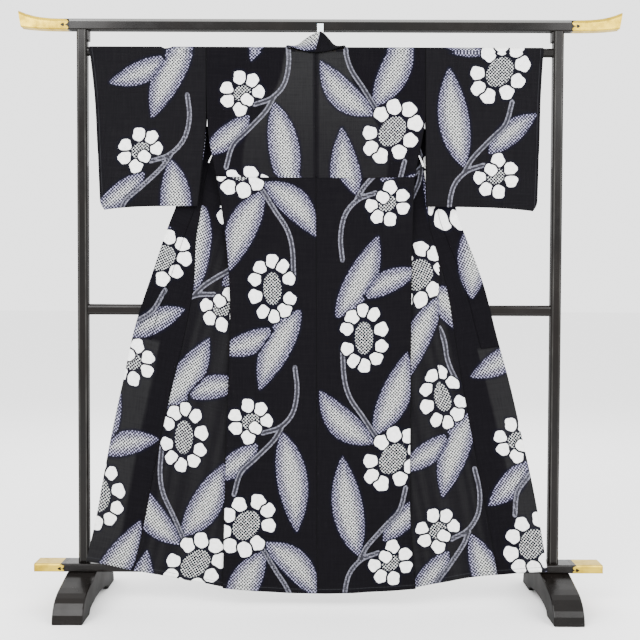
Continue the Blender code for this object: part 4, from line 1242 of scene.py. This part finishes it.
def black_lacquer(name, stand, axis, rubbed=None):
    """Black lacquer on a piece along the axis: dull on its underside and on a post's or foot's sides.

    A post's edges are painted lighter, as highlights, and so is a rail above the height given as rubbed."""
    nodes = Nodes(name)
    place_at = nodes.place_at()
    x, _, z = nodes.parts(place_at)
    facing = nodes.parts(nodes.add("ShaderNodeNewGeometry").outputs["Normal"])
    dull = nodes.step(facing[2], -0.5, -0.9)
    if axis != "x":
        dull = nodes.most(dull, nodes.step(nodes.size(facing[0]), 0.75, 0.95))
    colour = lacquer_colour(nodes, place_at, stand)
    if axis == "z":
        # Painted highlights: lighter lines along both edges of each post's front, in patches
        off_middle = nodes.size(nodes.less(nodes.size(x), POST_X))
        worn = nodes.times(nodes.step(off_middle, *POST_EDGE_INNER), nodes.step(off_middle, *POST_EDGE_OUTER))
        patches = nodes.step(nodes.noise(place_at, 9.0, 3.0), 0.35, 0.65, 0.35, 1.0)
        colour = nodes.mix(nodes.times(worn, patches), colour, paint(stand.painted_edge_highlight))
    # A painted highlight: the rail lighter above the given height, along its top
    if rubbed:
        colour = nodes.mix(nodes.step(z, rubbed - 0.0015, rubbed + 0.0010), colour, paint(stand.painted_top_highlight))
    nodes.set(Base_Color=colour, Roughness=nodes.scaled(dull, 0.6, lacquer_roughness(nodes, place_at)))
    nodes.set(Coat_Weight=0.08, Coat_Roughness=0.06, Specular_IOR_Level=0.12 if axis == "x" else 0.10)
    nodes.bump(lacquer_height(nodes, place_at, axis), 0.10, 0.0003)
    return nodes.material


# The gilt's cut-outs: how deep a lobe is beside the scallop, and the pierced heart's place and size
NOTCH_BELOW = 0.1
LOBE_DEPTH = 0.85
HEART_BEYOND = 0.004
HEART_HALF_LENGTH = 0.0048
HEART_HALF_HEIGHT = 0.0046
HEART_BULGE = 0.65
GILT_RIM = 0.0012


def gilt_over_lacquer(name, stand, rail_end, middle, height, scallop):
    """Thin gilt sheet with a scalloped edge and a pierced heart, over the black lacquer of the rail's end.

    The edge has two lobes that meet in a point towards the tip, a little below the rail's middle height."""
    nodes = Nodes(name)
    place_at = nodes.place_at()
    x, _, z = nodes.parts(place_at)
    out = nodes.less(nodes.size(x), rail_end)
    up = nodes.maths("DIVIDE", nodes.less(z, middle - NOTCH_BELOW * height), height / 2)
    lobe = nodes.less(nodes.times(nodes.size(up), 2.0), 1.0)
    lobe = nodes.maths("SQRT", nodes.most(nodes.less(1.0, nodes.times(lobe, lobe)), 0.0))
    into = nodes.less(out, nodes.less(scallop, nodes.times(lobe, scallop * LOBE_DEPTH)))
    hole_out = nodes.maths("DIVIDE", nodes.less(out, scallop + HEART_BEYOND), HEART_HALF_LENGTH)
    hole_up = nodes.times(up, height / 2 / HEART_HALF_HEIGHT)
    bulge = nodes.scaled(nodes.size(hole_up), HEART_BULGE, hole_out)
    pierced = nodes.step(nodes.plus(nodes.times(bulge, bulge), nodes.times(hole_up, hole_up)), 0.85, 1.15)
    metal = nodes.times(nodes.step(into, -0.0005, 0.0003), pierced)

    hammered = nodes.noise(place_at, 70.0, 4.0, 0.6)
    tarnish = nodes.noise(place_at, 22.0, 5.0, 0.65)
    gold = nodes.mix(nodes.step(tarnish, 0.38, 0.72), paint(stand.gilt), paint(stand.tarnish))
    rim = nodes.step(nodes.size(nodes.less(into, GILT_RIM)), GILT_RIM, 0.0003)
    gold = nodes.mix(nodes.times(rim, 0.35), gold, paint(stand.gilt_edge))
    polish = nodes.step(tarnish, 0.3, 0.75, 0.30, 0.52)
    nodes.set(
        Base_Color=nodes.mix(metal, lacquer_colour(nodes, place_at, stand), gold),
        Metallic=nodes.times(metal, 0.92),
        Roughness=nodes.mix(metal, lacquer_roughness(nodes, place_at), polish, "FLOAT"),
        Specular_IOR_Level=0.12,
    )
    nodes.bump(nodes.scaled(rim, 0.35, nodes.scaled(hammered, 0.16, metal)), 0.8, 0.0008)
    return nodes.material


def moulded_plastic(name, colour):
    """Smooth white plastic, faintly cloudy."""
    nodes = Nodes(name)
    cloudy = nodes.noise(nodes.place_at(), 90.0, 3.0)
    darker = tuple(0.9 * part for part in colour)
    nodes.set(Base_Color=nodes.mix(cloudy, paint(colour), paint(darker)))
    nodes.set(Roughness=nodes.step(cloudy, 0.3, 0.7, 0.25, 0.42), Subsurface_Weight=0.2)
    nodes.bump(cloudy, 0.15, 0.0002)
    return nodes.material


def dress(nodes, material):
    """Gives carried-over nodes of the model their finish."""
    for node in nodes:
        bpy.data.objects[node].material_slots[0].material = material


def colour_setting(name, description, default):
    """A colour that a user can change."""
    return bpy.props.FloatVectorProperty(
        name=name, description=description, subtype="COLOR", size=3, min=0.0, max=1.0, default=default
    )


def length_setting(name, description, low, high, default):
    """A length that a user can change."""
    return bpy.props.FloatProperty(
        name=name, description=description, unit="LENGTH", min=low, max=high, default=default
    )


class YukataCloth(bpy.types.PropertyGroup):
    """The cotton's colours and the scale of its dots."""

    navy_black: colour_setting("Navy Black", "The dyed cloth where it is opaque", (0.0024, 0.0021, 0.0030))
    # Painted backlight: the lighter colour that stands for light showing through one layer
    painted_backlight_colour: colour_setting(
        "Single Layer", "The dyed cloth where light shows through one layer", (0.0125, 0.0125, 0.0130)
    )
    halo: colour_setting("Dye Halo", "The navy that gathers round the tied figures", (0.0028, 0.0030, 0.0085))
    worn_thread: colour_setting("Worn Threads", "Threads that have lost some dye", (0.0065, 0.0062, 0.0072))
    petal: colour_setting("Petals", "The undyed cloth of the petals", (0.80, 0.80, 0.79))
    petal_fold: colour_setting(
        "Petal Puckers", "The petals' puckers, where a little dye ran in", (0.66, 0.66, 0.65)
    )
    leaf_middle: colour_setting("Leaf Middle", "The pale middle of a dotted leaf", (0.47, 0.48, 0.47))
    leaf_edge: colour_setting("Leaf Edge", "The violet grey towards a dotted leaf's edge", (0.28, 0.27, 0.41))
    speck: colour_setting("Specks", "The dark specks in the leaves and hearts", (0.004, 0.004, 0.0075))
    vine: colour_setting("Vines", "The stitched vines", (0.125, 0.125, 0.155))
    seam: colour_setting("Seams", "The shaded line where two panels meet", (0.0015, 0.0015, 0.002))
    hem_thread: colour_setting("Hem Thread", "The thread of the hem's small stitches", (0.020, 0.020, 0.023))
    lining: colour_setting("Lining", "The plain lining behind the lower back", (0.009, 0.009, 0.013))
    dot_pitch: length_setting("Dot Pitch", "The distance between neighbouring dots", 0.002, 0.02, 0.0068)
    sheen: bpy.props.FloatProperty(
        name="Sheen", description="How much the cotton's nap catches light", subtype="FACTOR",
        min=0.0, max=1.0, default=0.01,
    )


class YukataStand(bpy.types.PropertyGroup):
    """The stand's colours, and the scallops on its gilt tips."""

    lacquer: colour_setting("Lacquer", "The stand's black lacquer", (0.0022, 0.0018, 0.0016))
    thin_lacquer: colour_setting(
        "Thin Lacquer", "The lacquer where it has worn thin", (0.0050, 0.0036, 0.0029)
    )
    # Painted highlight: the lighter lines along the posts' rounded edges
    painted_edge_highlight: colour_setting(
        "Rubbed Edges", "The lacquer rubbed thin along the posts' edges", (0.030, 0.029, 0.027)
    )
    # Painted highlight: the lighter band along the top rail's upper edge
    painted_top_highlight: colour_setting(
        "Rubbed Top Edge", "The lacquer rubbed pale along the top rail's upper edge", (0.11, 0.11, 0.106)
    )
    gilt: colour_setting("Gilt", "The gilt sheet of the tips", (0.52, 0.365, 0.036))
    tarnish: colour_setting("Tarnish", "The gilt where it has dulled", (0.30, 0.195, 0.014))
    gilt_edge: colour_setting("Gilt Edge", "The pressed rim of the gilt sheet", (0.12, 0.08, 0.02))
    hook: colour_setting("Hook", "The white hook that takes the collar's loop", (0.84, 0.85, 0.85))
    tip_scallop: length_setting(
        "Tip Scallop", "The depth of the scallops on the upper tips' gilt", 0.0, 0.05, 0.016
    )
    foot_scallop: length_setting(
        "Lower Tip Scallop", "The depth of the scallops on the lower tips' gilt", 0.0, 0.05, 0.012
    )


class YukataRoom(bpy.types.PropertyGroup):
    """The room and the camera."""

    floor: colour_setting("Floor", "The plain floor's colour", (0.90, 0.90, 0.90))
    light: bpy.props.FloatProperty(
        name="Light", description="The brightness of the surrounding light",
        min=0.0, soft_max=6.0, default=2.6,
    )
    lens: bpy.props.FloatProperty(
        name="Lens", description="The camera's focal length, in millimetres on a 36 mm sensor",
        min=10.0, max=200.0, default=53.4,
    )
    camera_at: bpy.props.FloatVectorProperty(
        name="Camera Position", description="Where the camera stands", subtype="XYZ", unit="LENGTH",
        size=3, default=(0.002, -2.8, 0.926),
    )
    camera_down: bpy.props.FloatProperty(
        name="Camera Down", description="How far the camera looks down", subtype="ANGLE",
        default=math.radians(1.75),
    )
    camera_roll: bpy.props.FloatProperty(
        name="Camera Roll", description="How far the camera is rolled", subtype="ANGLE",
        default=math.radians(0.2),
    )


def ready_cotton(scene):
    """The dyed cotton, made once and shared by the panels."""
    return bpy.data.materials.get("dyed_cotton") or dyed_cotton("dyed_cotton", scene.yukata_cloth)


def ready_lacquer(scene, axis):
    """The lacquer for pieces along an axis, made once."""
    name = f"black_lacquer_{axis}"
    return bpy.data.materials.get(name) or black_lacquer(name, scene.yukata_stand, axis)


class YUKATA_OT_studio(bpy.types.Operator):
    """Makes the floor, the soft light and the camera"""

    bl_idname = "yukata.studio"
    bl_label = "Studio"

    def execute(self, context):
        room = context.scene.yukata_room
        mesh = bpy.data.meshes.new("studio_floor")
        corners = [(x * FLOOR_HALF, y * FLOOR_HALF, 0) for x, y in ((-1, -1), (1, -1), (1, 1), (-1, 1))]
        mesh.from_pydata(corners, [], [(0, 1, 2, 3)])
        floor = bpy.data.objects.new("studio_floor", mesh)
        context.scene.collection.objects.link(floor)
        nodes = Nodes("studio_floor")
        nodes.set(Base_Color=paint(room.floor), Roughness=0.9, Specular_IOR_Level=0.1)
        mesh.materials.append(nodes.material)

        world = bpy.data.worlds.new("studio_light")
        world.use_nodes = True
        surround = world.node_tree.nodes["Background"]
        surround.inputs["Color"].default_value = paint((1.0, 1.0, 1.0))
        surround.inputs["Strength"].default_value = room.light
        context.scene.world = world
        for name, at, power in LIGHTS:
            light = bpy.data.lights.new(name, "AREA")
            light.shape = "DISK"
            light.size = LIGHT_SIZE
            light.energy = power
            made = bpy.data.objects.new(name, light)
            aim = (Vector(LIGHT_AIM) - Vector(at)).to_track_quat("-Z", "Y")
            made.matrix_world = Matrix.Translation(at) @ aim.to_matrix().to_4x4()
            context.scene.collection.objects.link(made)

        lens = bpy.data.cameras.new("studio_camera")
        lens.sensor_width = SENSOR_WIDTH
        lens.lens = room.lens
        camera = bpy.data.objects.new("studio_camera", lens)
        turn = Matrix.Rotation(math.radians(90) - room.camera_down, 4, "X")
        roll = Matrix.Rotation(room.camera_roll, 4, "Z")
        camera.matrix_world = Matrix.Translation(room.camera_at) @ turn @ roll
        context.scene.collection.objects.link(camera)
        context.scene.camera = camera
        return {"FINISHED"}


class YUKATA_OT_body(bpy.types.Operator):
    """Hangs the two body lengths over the bar"""

    bl_idname = "yukata.body"
    bl_label = "Body Lengths"

    def execute(self, context):
        for which in ("left", "right"):
            add_body_panel(which, ready_cotton(context.scene))
        return {"FINISHED"}


class YUKATA_OT_overlaps(bpy.types.Operator):
    """Adds the two overlap strips at the fronts' outer edges"""

    bl_idname = "yukata.overlaps"
    bl_label = "Overlap Strips"

    def execute(self, context):
        for which in ("left", "right"):
            add_overlap_panel(which, ready_cotton(context.scene))
        return {"FINISHED"}


class YUKATA_OT_sleeves(bpy.types.Operator):
    """Hangs the two sleeves over the bar"""

    bl_idname = "yukata.sleeves"
    bl_label = "Sleeves"

    def execute(self, context):
        for which in ("left", "right"):
            add_sleeve_panel(which, ready_cotton(context.scene))
        return {"FINISHED"}


class YUKATA_OT_collar(bpy.types.Operator):
    """Lays the collar round the neck and down both front edges"""

    bl_idname = "yukata.collar"
    bl_label = "Collar"

    def execute(self, context):
        add_collar_band(ready_cotton(context.scene))
        return {"FINISHED"}


class YUKATA_OT_seat_lining(bpy.types.Operator):
    """Adds the plain lining behind the lower back"""

    bl_idname = "yukata.seat_lining"
    bl_label = "Seat Lining"

    def execute(self, context):
        add_seat_lining_panel(plain_cotton("lining_cotton", context.scene.yukata_cloth.lining))
        return {"FINISHED"}


class YUKATA_OT_stand(bpy.types.Operator):
    """Lacquers the stand's rails, posts, bar, cleats and feet"""

    bl_idname = "yukata.stand"
    bl_label = "Lacquered Stand"

    def execute(self, context):
        stand = context.scene.yukata_stand
        # The top rail's lacquer has a painted highlight along its top
        rubbed = black_lacquer("black_lacquer_top_rail", stand, "x", TOP_RAIL_MIDDLE + TOP_HIGHLIGHT_RISE)
        dress(["top_rail"], rubbed)
        dress(["middle_rail", "bottom_rail", "sleeve_bar"], ready_lacquer(context.scene, "x"))
        posts = ["post_left", "post_right", "cleat_left", "cleat_right"]
        dress(posts, ready_lacquer(context.scene, "z"))
        dress(["foot_left", "foot_right"], ready_lacquer(context.scene, "y"))
        return {"FINISHED"}


class YUKATA_OT_tips(bpy.types.Operator):
    """Gilds the tips of the top and bottom rails"""

    bl_idname = "yukata.tips"
    bl_label = "Gilt Tips"

    def execute(self, context):
        stand = context.scene.yukata_stand
        upper = (TOP_RAIL_HALF, TOP_RAIL_MIDDLE, TOP_TIP_HEIGHT, stand.tip_scallop)
        lower = (BOTTOM_RAIL_HALF, BOTTOM_RAIL_MIDDLE, BOTTOM_TIP_HEIGHT, stand.foot_scallop)
        dress(["top_cap_left", "top_cap_right"], gilt_over_lacquer("gilt_upper_tip", stand, *upper))
        dress(["bottom_cap_left", "bottom_cap_right"], gilt_over_lacquer("gilt_lower_tip", stand, *lower))
        return {"FINISHED"}


class YUKATA_OT_hook(bpy.types.Operator):
    """Finishes the hook that takes the collar's loop"""

    bl_idname = "yukata.hook"
    bl_label = "Collar Hook"

    def execute(self, context):
        dress(["collar_hook"], moulded_plastic("white_hook", context.scene.yukata_stand.hook))
        return {"FINISHED"}


class YUKATA_PT_pieces(bpy.types.Panel):
    """Lists the yukata's pieces and the stage"""

    bl_idname = "YUKATA_PT_pieces"
    bl_label = "Yukata"
    bl_space_type = "VIEW_3D"
    bl_region_type = "UI"
    bl_category = "Yukata"

    def draw(self, context):
        layout = self.layout
        for maker in MAKERS:
            layout.operator(maker.bl_idname)
        for group in ("yukata_cloth", "yukata_stand", "yukata_room"):
            box = layout.box()
            values = getattr(context.scene, group)
            for name in values.bl_rna.properties.keys():
                if name not in ("rna_type", "name"):
                    box.prop(values, name)


GROUPS = (YukataCloth, YukataStand, YukataRoom)
MAKERS = (
    YUKATA_OT_studio,
    YUKATA_OT_body,
    YUKATA_OT_overlaps,
    YUKATA_OT_sleeves,
    YUKATA_OT_collar,
    YUKATA_OT_seat_lining,
    YUKATA_OT_stand,
    YUKATA_OT_tips,
    YUKATA_OT_hook,
)


def register():
    for made in GROUPS + MAKERS + (YUKATA_PT_pieces,):
        bpy.utils.register_class(made)
    bpy.types.Scene.yukata_cloth = bpy.props.PointerProperty(type=YukataCloth)
    bpy.types.Scene.yukata_stand = bpy.props.PointerProperty(type=YukataStand)
    bpy.types.Scene.yukata_room = bpy.props.PointerProperty(type=YukataRoom)


def unregister():
    del bpy.types.Scene.yukata_room
    del bpy.types.Scene.yukata_stand
    del bpy.types.Scene.yukata_cloth
    for made in reversed(GROUPS + MAKERS + (YUKATA_PT_pieces,)):
        bpy.utils.unregister_class(made)


def main():
    register()
    bpy.ops.yukata.studio()
    bpy.ops.yukata.body()
    bpy.ops.yukata.overlaps()
    bpy.ops.yukata.sleeves()
    bpy.ops.yukata.collar()
    bpy.ops.yukata.seat_lining()
    bpy.ops.yukata.stand()
    bpy.ops.yukata.tips()
    bpy.ops.yukata.hook()
    bpy.context.view_layer.update()


if __name__ == "__main__":
    main()
